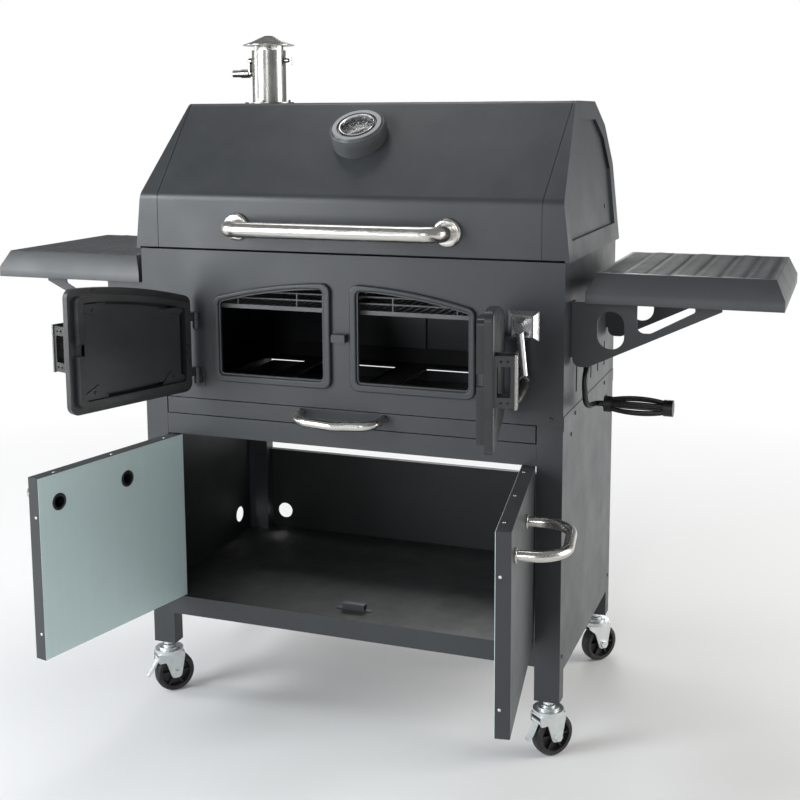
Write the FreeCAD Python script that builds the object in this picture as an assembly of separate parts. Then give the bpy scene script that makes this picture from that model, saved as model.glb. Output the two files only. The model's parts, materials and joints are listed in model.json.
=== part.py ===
import FreeCAD, Part
import math
import os

# Charcoal grill cart: a firebox with two arched fire doors, a lid with a chimney, an ash drawer,
# a storage cabinet with two doors, two side shelves and four swivel casters.
# Millimetres. X runs across the cart, -Y is its front, +Z is up and the floor is z = 0.
# Everything is laid out about the middle of the cart; export() moves it all along Y so that the
# origin is under the middle of the whole object as it stands, with its doors open.

V = FreeCAD.Vector

# ---- Driving dimensions
CART_WIDTH = 800.0
CART_DEPTH = 442.0
LEG_BOTTOM = 104.0
FIREBOX_BOTTOM = 594.0
FIREBOX_TOP = 870.0
LID_TOP = 1135.0
SHEET = 1.5
WHEEL_RADIUS = 38.1
RUNNING_GAP = 0.05

HALF_WIDTH = CART_WIDTH / 2
FRONT = -CART_DEPTH / 2
BACK = CART_DEPTH / 2
SIDES = (-1, 1)

# ---- Frame
LEG_WIDTH = 45.0
LEG_DEPTH = 30.0
LEG_WALL = 1.8
LEG_INNER = HALF_WIDTH - LEG_WIDTH
PANEL_BOTTOM = 155.0
SHELF_FLOOR = 203.0
SHELF_LIP_BOTTOM = 166.0
RAIL_BOTTOM = 523.0
RAIL_TOP = 561.0
RAIL_FLANGE = 25.0
REAR_PANEL_TOP = 382.0
CABLE_HOLE_RADIUS = 16.5

# ---- Windows and fire doors: every arch is a circle about one point on the cart's middle plane
ARCH_CENTRE_Z = -97.0
WINDOW_INNER = (34.0, 236.0, 646.0, 905.6)
WINDOW_OUTER = (18.5, 248.0, 630.0, 917.0)
WINDOW_FRAME_DEPTH = 8.0
WINDOW_STEP_WIDTH = 3.0
WINDOW_STEP_HEIGHT = 4.0
FIRE_DOOR_OUTLINE = (9.0, 275.0, 612.0, 925.0)
FIRE_DOOR_BACK = FRONT - WINDOW_FRAME_DEPTH - 1.5
FIRE_DOOR_THICKNESS = 27.0
FIRE_DOOR_FLANGE = 14.5
FIRE_DOOR_RIM_INSET = 12.0
FIRE_DOOR_RIM_WIDTH = 11.0
FIRE_HINGE = (281.0, -236.0)
FIRE_HINGE_HEIGHTS = (640.0, 742.0)
FIRE_DOOR_OPEN = {-1: 109.5, 1: 102.0}
CATCH_Z = 724.0
GRIP_HEIGHT = 78.0
GRIP_STAND_OFF = 30.0

# ---- Cabinet doors
CABINET_DOOR = (2.0, 352.0, 205.0, 521.0)
CABINET_DOOR_THICKNESS = 24.0
CABINET_HINGE = (347.0, -216.0)
CABINET_DOOR_OPEN = {-1: 102.5, 1: 98.5}
CABINET_PIN_RADIUS = 3.0
CABINET_HANDLE_X = (46.0, 205.0)
CABINET_HANDLE_Z = 471.0
CABINET_HANDLE_STAND_OFF = 75.0

# ---- Inside the firebox
GRATE_BOTTOM = 764.5
GRATE_TOP = 772.0
GRATE_RAIL_RISE = 12.0
TRAY_BOTTOM = 596.0
TRAY_TOP = 628.0
TRAY_LIFT = 80.0
TRAY_OPENINGS = ((32.0, 199.0), (236.0, 333.0))

# ---- Crank that lifts the charcoal tray through a pin wheel and a notched rack
CRANK = (331.0, 763.0)
CRANK_TURN = math.pi
CRANK_ARM = 85.0
CRANK_ARM_SHIFT = 10.0
CRANK_GRIP = (60.0, 28.0)
CRANK_SHAFT_RADIUS = 6.0
PIN_WHEEL_PINS = 12
PIN_RADIUS = 3.0
PIN_CIRCLE = TRAY_LIFT / CRANK_TURN

# ---- Side vents
VENT_SLOTS_Y = (-122.0, -60.0, 2.0, 64.0, 126.0)
VENT_SLOT_Z = (635.0, 682.0)
VENT_SLOT_WIDTH = 9.0
FIREBOX_FOLD = 1.0
VENT_SHUTTER_TRAVEL = 26.0
LEVER_PIVOT = (-70.0, 700.0)
LEVER_ROD_X = 414.0
LEVER_ROD_RADIUS = 5.0
LEVER_BOW = 52.0
LEVER_GRIP_Z = 605.0
LEVER_GRIP_X = (440.0, 560.0)

# ---- Lid
LID_BOTTOM = FIREBOX_TOP + 0.5
LID_FRONT_GAP = 4.0
LID_HALF_WIDTH_LOW = 408.0
LID_HALF_WIDTH_TOP = 379.0
LID_KNEE = (-224.0, 969.0)
LID_SLOPE_END = (-63.0, LID_TOP)
LID_PROFILE = (
    (-224.0, LID_BOTTOM, 0.0),
    (LID_KNEE[0], LID_KNEE[1], 22.0),
    (LID_SLOPE_END[0], LID_SLOPE_END[1], 16.0),
    (101.0, LID_TOP, 20.0),
    (176.0, 1091.0, 20.0),
    (220.0, 1017.0, 24.0),
    (216.0, LID_BOTTOM, 0.0),
)
LID_SEAM_LOW = 361.0
LID_SEAM_TOP = 375.0
LID_SEAM_HALF_WIDTH = 0.7
LID_SEAM_DEPTH = 0.9
LID_END_DEPTH = 6.0
LID_HINGE = (228.0, 874.0)
LID_HINGE_X = 280.0
LID_HANDLE_HALF = 198.5
LID_HANDLE_Z = 915.0
LID_HANDLE_STAND_OFF = 55.0
LID_HANDLE_RADIUS = 14.0

# ---- Thermometer, on the lid's sloping face
THERMOMETER_UP_SLOPE = 145.0
THERMOMETER_TILT = 11.0
THERMOMETER_RADIUS = 52.0
THERMOMETER_HEIGHT = 27.0
DIAL_RADIUS = 32.0

# ---- Chimney
CHIMNEY = (-255.0, 35.0)
CHIMNEY_RADIUS = 33.0
CHIMNEY_WALL = 1.5
CHIMNEY_TUBE_TOP = 1238.0
CHIMNEY_CAP_RADIUS = 50.0
CHIMNEY_CAP_Z = (1247.0, 1266.0)
DAMPER_Z = 1218.0
DAMPER_SHAFT_RADIUS = 2.5

# ---- Side shelves
SIDE_SHELF_TOP = (442.0, 730.0, -171.0, 171.0)
SIDE_SHELF_SKIRT = (427.0, 745.0, -189.0, 189.0)
SIDE_SHELF_Z = (800.0, 818.0, 850.0)
BRACKET_Y = (-166.5, 150.0)
BRACKET_THICKNESS = 3.0

# ---- Ash drawer
DRAWER_HALF_WIDTH = 353.0
DRAWER_BACK = 190.0
DRAWER_Z = (562.5, 592.5)
DRAWER_HANDLE_HALF = 80.0

# ---- Casters
CASTER_POSITION = (HALF_WIDTH - LEG_WIDTH / 2, BACK - LEG_DEPTH / 2)
CASTER_TRAIL = 9.0
CASTER_TURN = 49.0
WHEEL_WIDTH = 25.0
AXLE_RADIUS = 4.0
STEM_RADIUS = 5.0
PEDAL_PIVOT = (-22.0, 68.0)
PEDAL_PIN_RADIUS = 1.8


# ---- Shape helpers
def block(x, y, z):
    low = V(min(x), min(y), min(z))
    return Part.makeBox(abs(x[1] - x[0]), abs(y[1] - y[0]), abs(z[1] - z[0]), low)


def rod(start, end, radius):
    start = V(*start)
    run = V(*end) - start
    return Part.makeCylinder(radius, run.Length, start, run)


def ring(start, end, outer, inner):
    return rod(start, end, outer).cut(rod(start, end, inner))


def fuse(shapes):
    return shapes[0].multiFuse(shapes[1:]).removeSplitter()


def mirrored(shape):
    return shape.mirror(V(0, 0, 0), V(1, 0, 0))


def turned(shape, centre, axis, degrees):
    copy = shape.copy()
    copy.rotate(V(*centre), V(*axis), degrees)
    return copy


def on_plane(axis, a, b, level):
    if axis == "x":
        return V(level, a, b)
    if axis == "y":
        return V(a, level, b)
    return V(a, b, level)


def corner_edges(before, corner, after, radius):
    """Arc that rounds one corner: its start, its middle and its end."""
    to_before = (before - corner).normalize()
    to_after = (after - corner).normalize()
    half = to_before.getAngle(to_after) / 2
    reach = radius / math.tan(half)
    towards_centre = (to_before + to_after).normalize()
    centre = corner + towards_centre * (radius / math.sin(half))
    return corner + to_before * reach, centre - towards_centre * radius, corner + to_after * reach


def path_edges(points, closed):
    """Straight runs with rounded corners; each point is a vector and the radius of its corner."""
    count = len(points)
    stops = []
    for i, (point, radius) in enumerate(points):
        inner = closed or 0 < i < count - 1
        if radius > 0 and inner:
            stops.append(corner_edges(points[i - 1][0], point, points[(i + 1) % count][0], radius))
        else:
            stops.append((point,))
    edges = []
    for i, stop in enumerate(stops):
        if len(stop) == 3:
            edges.append(Part.Arc(*stop).toShape())
        if closed or i < count - 1:
            following = stops[(i + 1) % count]
            if (following[0] - stop[-1]).Length > 1e-6:
                edges.append(Part.LineSegment(stop[-1], following[0]).toShape())
    return edges


def outline(points, axis, level=0.0):
    corners = [(on_plane(axis, p[0], p[1], level), p[2] if len(p) > 2 else 0.0) for p in points]
    return Part.Wire(path_edges(corners, True))


def plate(points, axis, low, high, inset=0.0):
    """Outline of (a, b, corner radius) points in the plane across axis, extruded along it."""
    wire = outline(points, axis, low)
    if inset:
        wire = wire.makeOffset2D(-inset)
    return Part.Face(wire).extrude(on_plane(axis, 0, 0, high - low))


def bent_rod(points, radius, bend):
    path = Part.Wire(path_edges([(V(*p), bend) for p in points], False))
    start = V(*points[0])
    section = Part.Wire(Part.makeCircle(radius, start, V(*points[1]) - start))
    return path.makePipeShell([section], True, False)


def lathe(points, centre=(0, 0, 0)):
    """Solid of revolution about Z from (radius, height) points."""
    wire = outline([(r, z) for r, z in points], "y")
    solid = Part.Face(wire).revolve(V(0, 0, 0), V(0, 0, 1), 360)
    solid.translate(V(*centre))
    return solid


def hexagon(centre, axis, across_flats, height):
    circle = across_flats / math.sqrt(3)
    corners = [(circle * math.cos(math.radians(60 * i)), circle * math.sin(math.radians(60 * i)))
               for i in range(6)]
    nut = plate(corners, "z", 0, height)
    nut.Placement = FreeCAD.Placement(V(*centre), FreeCAD.Rotation(V(0, 0, 1), V(*axis)))
    return nut


def edges_at(shape, test):
    return [edge for edge in shape.Edges if test(edge)]


def both_sides(make):
    return [make(side) for side in SIDES]


# ---- Frame of the cart
def leg(x_side, y_side):
    x = (x_side * LEG_INNER, x_side * HALF_WIDTH)
    y = (y_side * (BACK - LEG_DEPTH), y_side * BACK)
    inside_x = (x_side * (LEG_INNER + LEG_WALL), x_side * (HALF_WIDTH - LEG_WALL))
    inside_y = (y_side * (BACK - LEG_DEPTH + LEG_WALL), y_side * (BACK - LEG_WALL))
    tube = block(x, y, (LEG_BOTTOM, FIREBOX_BOTTOM))
    tube = tube.cut(block(inside_x, inside_y, (LEG_BOTTOM + 3, FIREBOX_BOTTOM)))
    stem_x = x_side * CASTER_POSITION[0]
    stem_y = y_side * CASTER_POSITION[1]
    return tube.cut(rod((stem_x, stem_y, LEG_BOTTOM - 1), (stem_x, stem_y, LEG_BOTTOM + 5), STEM_RADIUS))


def legs():
    return Part.makeCompound([leg(x_side, y_side) for x_side in SIDES for y_side in SIDES])


def side_panel(side):
    """Pressed panel between two legs, with a flange against each of them."""
    inner_y = BACK - LEG_DEPTH
    flange = HALF_WIDTH - 14
    z = (PANEL_BOTTOM, FIREBOX_BOTTOM)
    parts = [block((HALF_WIDTH - SHEET, HALF_WIDTH), (-inner_y, inner_y), z)]
    for y_side in SIDES:
        parts.append(block((flange, HALF_WIDTH), (y_side * (inner_y - SHEET), y_side * inner_y), z))
    parts.append(block((flange, HALF_WIDTH), (-inner_y, inner_y), (PANEL_BOTTOM, PANEL_BOTTOM + SHEET)))
    panel = fuse(parts)
    if side > 0:
        return panel
    hole = rod((HALF_WIDTH - 5, 141, 247), (HALF_WIDTH + 5, 141, 247), CABLE_HOLE_RADIUS)
    return mirrored(panel.cut(hole))


def rear_panel():
    sheet = block((-LEG_INNER, LEG_INNER), (BACK - SHEET, BACK), (SHELF_LIP_BOTTOM, REAR_PANEL_TOP))
    fold = block((-LEG_INNER, LEG_INNER), (BACK - 14, BACK), (REAR_PANEL_TOP - SHEET, REAR_PANEL_TOP))
    hole = rod((-326, BACK - 5, 240), (-326, BACK + 5, 240), CABLE_HOLE_RADIUS)
    return fuse([sheet, fold]).cut(hole)


def bottom_shelf():
    """Pan whose lips are turned down, notched around the legs."""
    back = BACK - SHEET - 0.2
    ear_x = HALF_WIDTH - SHEET - 0.2
    ear_y = BACK - LEG_DEPTH - SHEET - 0.2
    quarter = [(LEG_INNER, back), (LEG_INNER, ear_y), (ear_x, ear_y)]
    front = [(ear_x, -ear_y), (LEG_INNER, -ear_y), (LEG_INNER, FRONT)]
    right = quarter + front
    left = [(-x, y) for x, y in reversed(right)]
    parts = [plate(right + left, "z", SHELF_FLOOR - SHEET, SHELF_FLOOR)]
    lip_z = (SHELF_LIP_BOTTOM, SHELF_FLOOR)
    parts.append(block((-LEG_INNER, LEG_INNER), (FRONT, FRONT + SHEET), lip_z))
    parts.append(block((-LEG_INNER, LEG_INNER), (FRONT, FRONT + 10), (lip_z[0], lip_z[0] + SHEET)))
    parts.append(block((-LEG_INNER, LEG_INNER), (back - SHEET, back), lip_z))
    for side in SIDES:
        parts.append(block((side * (ear_x - SHEET), side * ear_x), (-ear_y, ear_y), lip_z))
    crease = block((-261, -259), (-162, 130), (SHELF_FLOOR - 0.5, SHELF_FLOOR + 1))
    return fuse(parts).cut(crease)


def cross_rail(y_side):
    face = y_side * BACK
    reach = y_side * (BACK - RAIL_FLANGE)
    x = (-LEG_INNER, LEG_INNER)
    return fuse([
        block(x, (y_side * (BACK - SHEET), face), (RAIL_BOTTOM, RAIL_TOP)),
        block(x, (reach, face), (RAIL_TOP - SHEET, RAIL_TOP)),
        block(x, (reach, face), (RAIL_BOTTOM, RAIL_BOTTOM + SHEET)),
    ])


def cross_rails():
    return Part.makeCompound([cross_rail(y_side) for y_side in SIDES])


# ---- Firebox
def arched_slab(shape, y, corner, inset=0.0):
    """Slab with a flat foot, upright sides and an arched top; shape is (x, x, foot, arch radius)."""
    x_near, x_far, foot, arch = shape
    top = ARCH_CENTRE_Z + arch
    slab = block((x_near + inset, x_far - inset), y, (foot + inset, top))
    slab = slab.common(rod((0, min(y), ARCH_CENTRE_Z), (0, max(y), ARCH_CENTRE_Z), arch - inset))
    along_y = edges_at(slab, lambda e: abs(e.tangentAt(e.FirstParameter).y) > 0.99)
    return slab.makeFillet(corner, along_y)


def window_frame():
    """Raised rounded border pressed around one window."""
    y = (FRONT - WINDOW_FRAME_DEPTH, FRONT)
    border = arched_slab(WINDOW_OUTER, y, 16).cut(arched_slab(WINDOW_INNER, y, 6))
    step = arched_slab(WINDOW_INNER, (y[0] - 1, FRONT - WINDOW_STEP_HEIGHT), 9, -WINDOW_STEP_WIDTH)
    border = border.cut(step)
    face = edges_at(border, lambda e: e.BoundBox.YMax < FRONT - WINDOW_FRAME_DEPTH + 0.01)
    return border.makeFillet(3.0, face)


def window_groove():
    """Narrow channel in the front sheet round the window's border."""
    y = (FRONT - 1, FRONT + 0.8)
    return arched_slab(WINDOW_OUTER, y, 17.4, -1.4).cut(arched_slab(WINDOW_OUTER, y, 16))


def firebox_front():
    parts = [
        block((-HALF_WIDTH, HALF_WIDTH), (FRONT, FRONT + SHEET), (FIREBOX_BOTTOM, FIREBOX_TOP)),
        block((-HALF_WIDTH + SHEET, HALF_WIDTH - SHEET), (FRONT, FRONT + 15),
              (FIREBOX_TOP - SHEET, FIREBOX_TOP)),
        window_frame(),
        mirrored(window_frame()),
    ]
    opening = arched_slab(WINDOW_INNER, (FRONT - 2, FRONT + 2), 6)
    panel = fuse(parts).cut(opening).cut(mirrored(opening))
    panel = panel.cut(window_groove()).cut(mirrored(window_groove()))
    x, z = CRANK
    return panel.cut(rod((x, FRONT - 2, z), (x, FRONT + 4, z), CRANK_SHAFT_RADIUS + RUNNING_GAP))


def firebox_side(side):
    y = BACK - SHEET - 0.2
    parts = [
        block((HALF_WIDTH - SHEET, HALF_WIDTH), (-y, y), (FIREBOX_BOTTOM, FIREBOX_TOP)),
        block((HALF_WIDTH - 15, HALF_WIDTH), (-y + 15, y - 15), (FIREBOX_TOP - SHEET, FIREBOX_TOP)),
        block((HALF_WIDTH, HALF_WIDTH + FIREBOX_FOLD), (-y, y), (FIREBOX_BOTTOM - 8, FIREBOX_BOTTOM + 17)),
    ]
    wall = fuse(parts)
    if side < 0:
        return mirrored(wall)
    half = VENT_SLOT_WIDTH / 2
    for slot_y in VENT_SLOTS_Y:
        slot = block((HALF_WIDTH - 5, HALF_WIDTH + 5), (slot_y - half, slot_y + half), VENT_SLOT_Z)
        wall = wall.cut(slot)
    y, z = LEVER_PIVOT
    bore = rod((HALF_WIDTH - 5, y, z), (HALF_WIDTH + 5, y, z), LEVER_ROD_RADIUS + RUNNING_GAP)
    return wall.cut(bore)


def firebox_rear():
    return fuse([
        block((-HALF_WIDTH, HALF_WIDTH), (BACK - SHEET, BACK), (FIREBOX_BOTTOM, FIREBOX_TOP)),
        block((-HALF_WIDTH + SHEET, HALF_WIDTH - SHEET), (BACK - 15, BACK),
              (FIREBOX_TOP - SHEET, FIREBOX_TOP)),
        block((-8, 8), (BACK - 8, BACK), (FIREBOX_BOTTOM + 3, 760)),
    ])


def firebox_floor():
    """Bottom plate, open in the middle over the ash drawer."""
    x = HALF_WIDTH - SHEET - 0.2
    y = BACK - SHEET - 0.2
    bottom = block((-x, x), (-y, y), (FIREBOX_BOTTOM, FIREBOX_BOTTOM + SHEET))
    return bottom.cut(block((-345, 345), (-187, 187), (FIREBOX_BOTTOM - 1, FIREBOX_BOTTOM + 3)))


def inner_ledges():
    """Ledges under the cooking grates, guides of the vent shutter and runners of the ash drawer."""
    wall = HALF_WIDTH - SHEET
    parts = [block((-8, 8), (FRONT + SHEET, BACK - 8), (GRATE_BOTTOM - 5, GRATE_BOTTOM))]
    for side in SIDES:
        parts.append(block((side * (wall - 16), side * wall), (-200, 200),
                           (GRATE_BOTTOM - SHEET, GRATE_BOTTOM)))
        base = block((side * 322, side * 352), (-215, 215), (RAIL_TOP, RAIL_TOP + 1.2))
        guide = block((side * 350.5, side * 352), (-215, 215), (RAIL_TOP, DRAWER_Z[1] - 1))
        parts.append(fuse([base, guide]))
    for z in ((596.0, 598.5), (691.5, 694.0)):
        parts.append(block((wall - 8, wall), (-190, 190), z))
    return Part.makeCompound(parts)


def cooking_grate(side):
    """Flat bars along Y welded onto cross bars and a frame, with a two-wire rail along the front."""
    x = (5.0, 385.0)
    half_depth = 207.0
    frame = block(x, (-half_depth, half_depth), (GRATE_BOTTOM, GRATE_TOP))
    inside = block((x[0] + 5, x[1] - 5), (-half_depth + 5, half_depth - 5),
                   (GRATE_BOTTOM - 1, GRATE_TOP + 1))
    parts = [frame.cut(inside)]
    cross_count = 4
    for i in range(1, cross_count + 1):
        y = -half_depth + i * 2 * half_depth / (cross_count + 1)
        parts.append(block((x[0] + 1, x[1] - 1), (y - 2.5, y + 2.5), (GRATE_BOTTOM, GRATE_BOTTOM + 4.5)))
    bar_count = 24
    pitch = (x[1] - x[0]) / (bar_count + 1)
    for i in range(1, bar_count + 1):
        bar_x = x[0] + i * pitch
        parts.append(block((bar_x - 1.75, bar_x + 1.75), (-half_depth + 1, half_depth - 1),
                           (GRATE_BOTTOM + 3.5, GRATE_TOP)))
    rail_y = -half_depth + 3
    rail_y = -half_depth + 3
    rail_top = GRATE_TOP + 2 * GRATE_RAIL_RISE
    for z in (GRATE_TOP + GRATE_RAIL_RISE, rail_top):
        parts.append(rod((x[0] + 3, rail_y, z), (x[1] - 3, rail_y, z), 1.8))
    for tie_x in (x[0] + 3, 92.0, 210.0, 300.0, x[1] - 3):
        parts.append(rod((tie_x, rail_y, GRATE_TOP - 1), (tie_x, rail_y, rail_top), 1.8))
    grate = fuse(parts)
    return grate if side > 0 else mirrored(grate)


def cooking_grates():
    return Part.makeCompound(both_sides(cooking_grate))


def charcoal_tray():
    """Pan with four ash openings; a notched rack at its right front corner lifts it."""
    outside = block((-380, 380), (-205, 205), (TRAY_BOTTOM, TRAY_TOP))
    pan = outside.cut(block((-380 + SHEET, 380 - SHEET), (-205 + SHEET, 205 - SHEET),
                            (TRAY_BOTTOM + SHEET, TRAY_TOP + 1)))
    for side in SIDES:
        for near, far in TRAY_OPENINGS:
            rim = block((side * (near - 2), side * (far + 2)), (-157, 157), (TRAY_BOTTOM, TRAY_BOTTOM + 4))
            pan = pan.fuse(rim)
            pan = pan.cut(block((side * near, side * far), (-155, 155), (TRAY_BOTTOM - 1, TRAY_BOTTOM + 5)))
    rack_x = (CRANK[0] + PIN_CIRCLE - 1.5, CRANK[0] + PIN_CIRCLE + 15)
    rack_y = (FRONT + 6.5, FRONT + 11)
    rack = block(rack_x, rack_y, (TRAY_BOTTOM + 1, CRANK[1] + 17))
    pitch = 2 * math.pi * PIN_CIRCLE / PIN_WHEEL_PINS
    for i in range(-8, 2):
        z = CRANK[1] + i * pitch
        notch_z = (z - PIN_RADIUS - 1, z + PIN_RADIUS + 1)
        rack = rack.cut(block((rack_x[0] - 1, rack_x[0] + 6), rack_y, notch_z))
    foot = block(rack_x, (rack_y[0], -204), (TRAY_BOTTOM + 1, TRAY_BOTTOM + 4))
    return fuse([pan, rack, foot])


# ---- Hinge lugs and catches fixed to the cart
def fire_door_lug(z):
    """Knuckle below one door knuckle, with the pin that the door turns on."""
    x, y = FIRE_HINGE
    return fuse([
        rod((x, y, z - 14), (x, y, z), 6),
        block((x - 6, x + 6), (y, FRONT), (z - 14, z)),
        block((x - 9, x + 12), (FRONT - 2, FRONT), (z - 20, z + 6)),
        rod((x, y, z - 2), (x, y, z + 15), 3),
    ])


def door_hardware():
    parts = []
    for z in FIRE_HINGE_HEIGHTS:
        lug = fire_door_lug(z)
        parts += [lug, mirrored(lug)]
    x, y = CABINET_HINGE
    for z in ((SHELF_FLOOR, SHELF_FLOOR + 8), (RAIL_BOTTOM - 8, RAIL_BOTTOM)):
        pin = rod((x, y, z[0]), (x, y, z[1]), CABINET_PIN_RADIUS)
        parts += [pin, mirrored(pin)]
    parts.append(block((-13, 13), (FRONT - 16, FRONT), (CATCH_Z - 7, CATCH_Z + 7)))
    magnet = fuse([
        block((-22, 22), (-179, -167), (SHELF_FLOOR, SHELF_FLOOR + 12)),
        block((-34, 34), (-178, -168), (SHELF_FLOOR, SHELF_FLOOR + 2)),
    ])
    parts.append(magnet)
    y, z = LID_HINGE
    for x in (-LID_HINGE_X, LID_HINGE_X):
        parts.append(fuse([
            rod((x - 30, y, z), (x + 30, y, z), 2.5),
            rod((x - 30, y, z), (x - 11, y, z), 5),
            rod((x + 11, y, z), (x + 30, y, z), 5),
            block((x - 30, x - 11), (BACK, y + 2), (z - 6, z)),
            block((x + 11, x + 30), (BACK, y + 2), (z - 6, z)),
            block((x - 30, x + 30), (BACK, BACK + 2), (z - 34, z - 5)),
        ]))
    return Part.makeCompound(parts)


def pan_head_screw(centre, axis, radius=4.5, height=2.5):
    tip = V(*centre) + V(*axis) * height
    head = rod(centre, tuple(tip), radius)
    rim = edges_at(head, lambda e: e.isClosed() and (e.CenterOfMass - tip).Length < 0.01)
    return head.makeFillet(1.4, rim)


def cart_screws():
    screws = []
    for side in SIDES:
        screws.append(pan_head_screw((side * 379, FRONT, 606), (0, -1, 0), 3.6, 1.8))
        for z in (606, 850):
            screws.append(pan_head_screw((side * 379, BACK, z), (0, 1, 0), 3.6, 1.8))
        for y_side in SIDES:
            for y, z in ((BACK - LEG_DEPTH / 2, SHELF_FLOOR - 18), (156, 567)):
                screws.append(pan_head_screw((side * HALF_WIDTH, y_side * y, z), (side, 0, 0), 3.6, 1.8))
            fold = side * (HALF_WIDTH + FIREBOX_FOLD)
            screws.append(pan_head_screw((fold, y_side * 130, 599), (side, 0, 0), 3.6, 1.8))
    return Part.makeCompound(screws)


# ---- Crank
def crank_bezel():
    """Square escutcheon with sloping sides and a sunk middle."""
    x, z = CRANK
    half = (27.0, 25.5)
    foot = outline([(x - half[0], z - half[1]), (x + half[0], z - half[1]),
                    (x + half[0], z + half[1]), (x - half[0], z + half[1])], "y", FRONT)
    face = outline([(x - 19, z - 18), (x + 19, z - 18),
                    (x + 19, z + 18), (x - 19, z + 18)], "y", FRONT - 11)
    body = Part.makeLoft([foot, face], True, True)
    body = body.cut(block((x - 16, x + 16), (FRONT - 12, FRONT - 4), (z - 15, z + 15)))
    body = body.fuse(rod((x, FRONT, z), (x, FRONT - 9, z), 11)).removeSplitter()
    return body.cut(rod((x, FRONT + 1, z), (x, FRONT - 12, z), CRANK_SHAFT_RADIUS + RUNNING_GAP))


def crank():
    """Shaft with its pin wheel inside the wall, and outside it a hub, a round arm and a tilted grip."""
    x, z = CRANK
    arm_y = FRONT - 28
    knuckle = V(x + CRANK_ARM_SHIFT, arm_y, z - CRANK_ARM)
    arm = knuckle - V(x, arm_y, z)
    reach, drop = CRANK_GRIP
    grip_run = V(0, -reach, -drop)
    grip = lathe([(0, 0), (5, 0), (9.5, 16), (10.5, 34), (8, 56), (4, 64), (0, 66)])
    grip.Placement = FreeCAD.Placement(knuckle, FreeCAD.Rotation(V(0, 0, 1), grip_run))
    parts = [
        rod((x, FRONT + 11.5, z), (x, arm_y, z), CRANK_SHAFT_RADIUS),
        rod((x, FRONT - 9.5, z), (x, arm_y - 7, z), 9),
        rod((x, FRONT + 4, z), (x, FRONT + 6, z), PIN_CIRCLE + 4),
        Part.makeCone(7, 5.5, arm.Length, V(x, arm_y, z), arm),
        rod(tuple(knuckle + V(0, 6, 0)), tuple(knuckle - V(0, 7, 0)), 7.5),
        grip,
    ]
    for i in range(PIN_WHEEL_PINS):
        angle = 2 * math.pi * i / PIN_WHEEL_PINS
        pin_x = x + PIN_CIRCLE * math.cos(angle)
        pin_z = z + PIN_CIRCLE * math.sin(angle)
        parts.append(rod((pin_x, FRONT + 5, pin_z), (pin_x, FRONT + 11.5, pin_z), PIN_RADIUS))
    return fuse(parts)


# ---- Side vents
def vent_shutter():
    x = (HALF_WIDTH - SHEET - 2.1, HALF_WIDTH - SHEET - 0.6)
    shutter = block(x, (-150, 150), (599, 691))
    half = VENT_SLOT_WIDTH / 2
    for slot_y in VENT_SLOTS_Y:
        shutter = shutter.cut(block(x, (slot_y - half, slot_y + half), VENT_SLOT_Z))
    return shutter


def vent_lever():
    y, z = LEVER_PIVOT
    bow = y - LEVER_BOW
    corners = [
        (V(388, y, z), 0),
        (V(LEVER_ROD_X, y, z), 8),
        (V(LEVER_ROD_X, bow, z - 42), 24),
        (V(LEVER_ROD_X, bow + 14, LEVER_GRIP_Z), 24),
        (V(LEVER_GRIP_X[0] - 14, y, LEVER_GRIP_Z), 14),
        (V(LEVER_GRIP_X[1] - 4, y, LEVER_GRIP_Z), 0),
    ]
    wire = Part.Wire(path_edges(corners, False))
    section = Part.Wire(Part.makeCircle(LEVER_ROD_RADIUS, corners[0][0], V(1, 0, 0)))
    return wire.makePipeShell([section], True, False)


def vent_lever_grip():
    """Two collars joined by bowed ribs around the rod."""
    y, z = LEVER_PIVOT[0], LEVER_GRIP_Z
    start, end = LEVER_GRIP_X
    ribs = []
    for i in range(6):
        low = V(start + 8, y, z + 9)
        middle = V((start + end) / 2, y, z + 15)
        high = V(end - 10, y, z + 9)
        path = Part.Wire(Part.Arc(low, middle, high).toShape())
        tangent = path.Edges[0].tangentAt(path.Edges[0].FirstParameter)
        section = Part.Wire(Part.makeCircle(2.6, low, tangent))
        rib = path.makePipeShell([section], True, False)
        ribs.append(turned(rib, (0, y, z), (1, 0, 0), 60 * i))
    collars = [
        rod((start, y, z), (start + 13, y, z), 14),
        rod((end - 16, y, z), (end, y, z), 14.5),
    ]
    grip = fuse(collars + ribs)
    return grip.cut(rod((start - 1, y, z), (end - 4, y, z), LEVER_ROD_RADIUS))


# ---- Lid
def lid_half_width(z):
    share = (z - LID_BOTTOM) / (LID_TOP - LID_BOTTOM)
    return LID_HALF_WIDTH_LOW + share * (LID_HALF_WIDTH_TOP - LID_HALF_WIDTH_LOW)


def lid_between(low, high):
    """Everything from depth low to depth high inside the right-hand sloping end of the lid."""
    bottom, top = LID_BOTTOM - 10, LID_TOP + 10
    return plate([
        (lid_half_width(bottom) - high, bottom), (lid_half_width(bottom) - low, bottom),
        (lid_half_width(top) - low, top), (lid_half_width(top) - high, top),
    ], "y", -260, 260)


def lid_bulk(inset):
    bulk = plate(LID_PROFILE, "x", -420, 420, inset)
    bottom, top = LID_BOTTOM - 10, LID_TOP + 10
    ends = plate([
        (-lid_half_width(bottom), bottom), (lid_half_width(bottom), bottom),
        (lid_half_width(top), top), (-lid_half_width(top), top),
    ], "y", -260, 260)
    return bulk.common(ends)


def lid_sheet():
    """The bent sheet of the lid, open below and at both ends; its front stops short of the firebox."""
    sheet = lid_bulk(0).cut(lid_bulk(SHEET))
    front = LID_PROFILE[0][0] + SHEET
    rear = LID_PROFILE[-1][0] - SHEET
    sheet = sheet.cut(block((-420, 420), (front, rear), (LID_BOTTOM - 1, LID_BOTTOM + 3)))
    return sheet.cut(block((-420, 420), (-240, 0), (LID_BOTTOM - 1, FIREBOX_TOP + LID_FRONT_GAP)))


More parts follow.
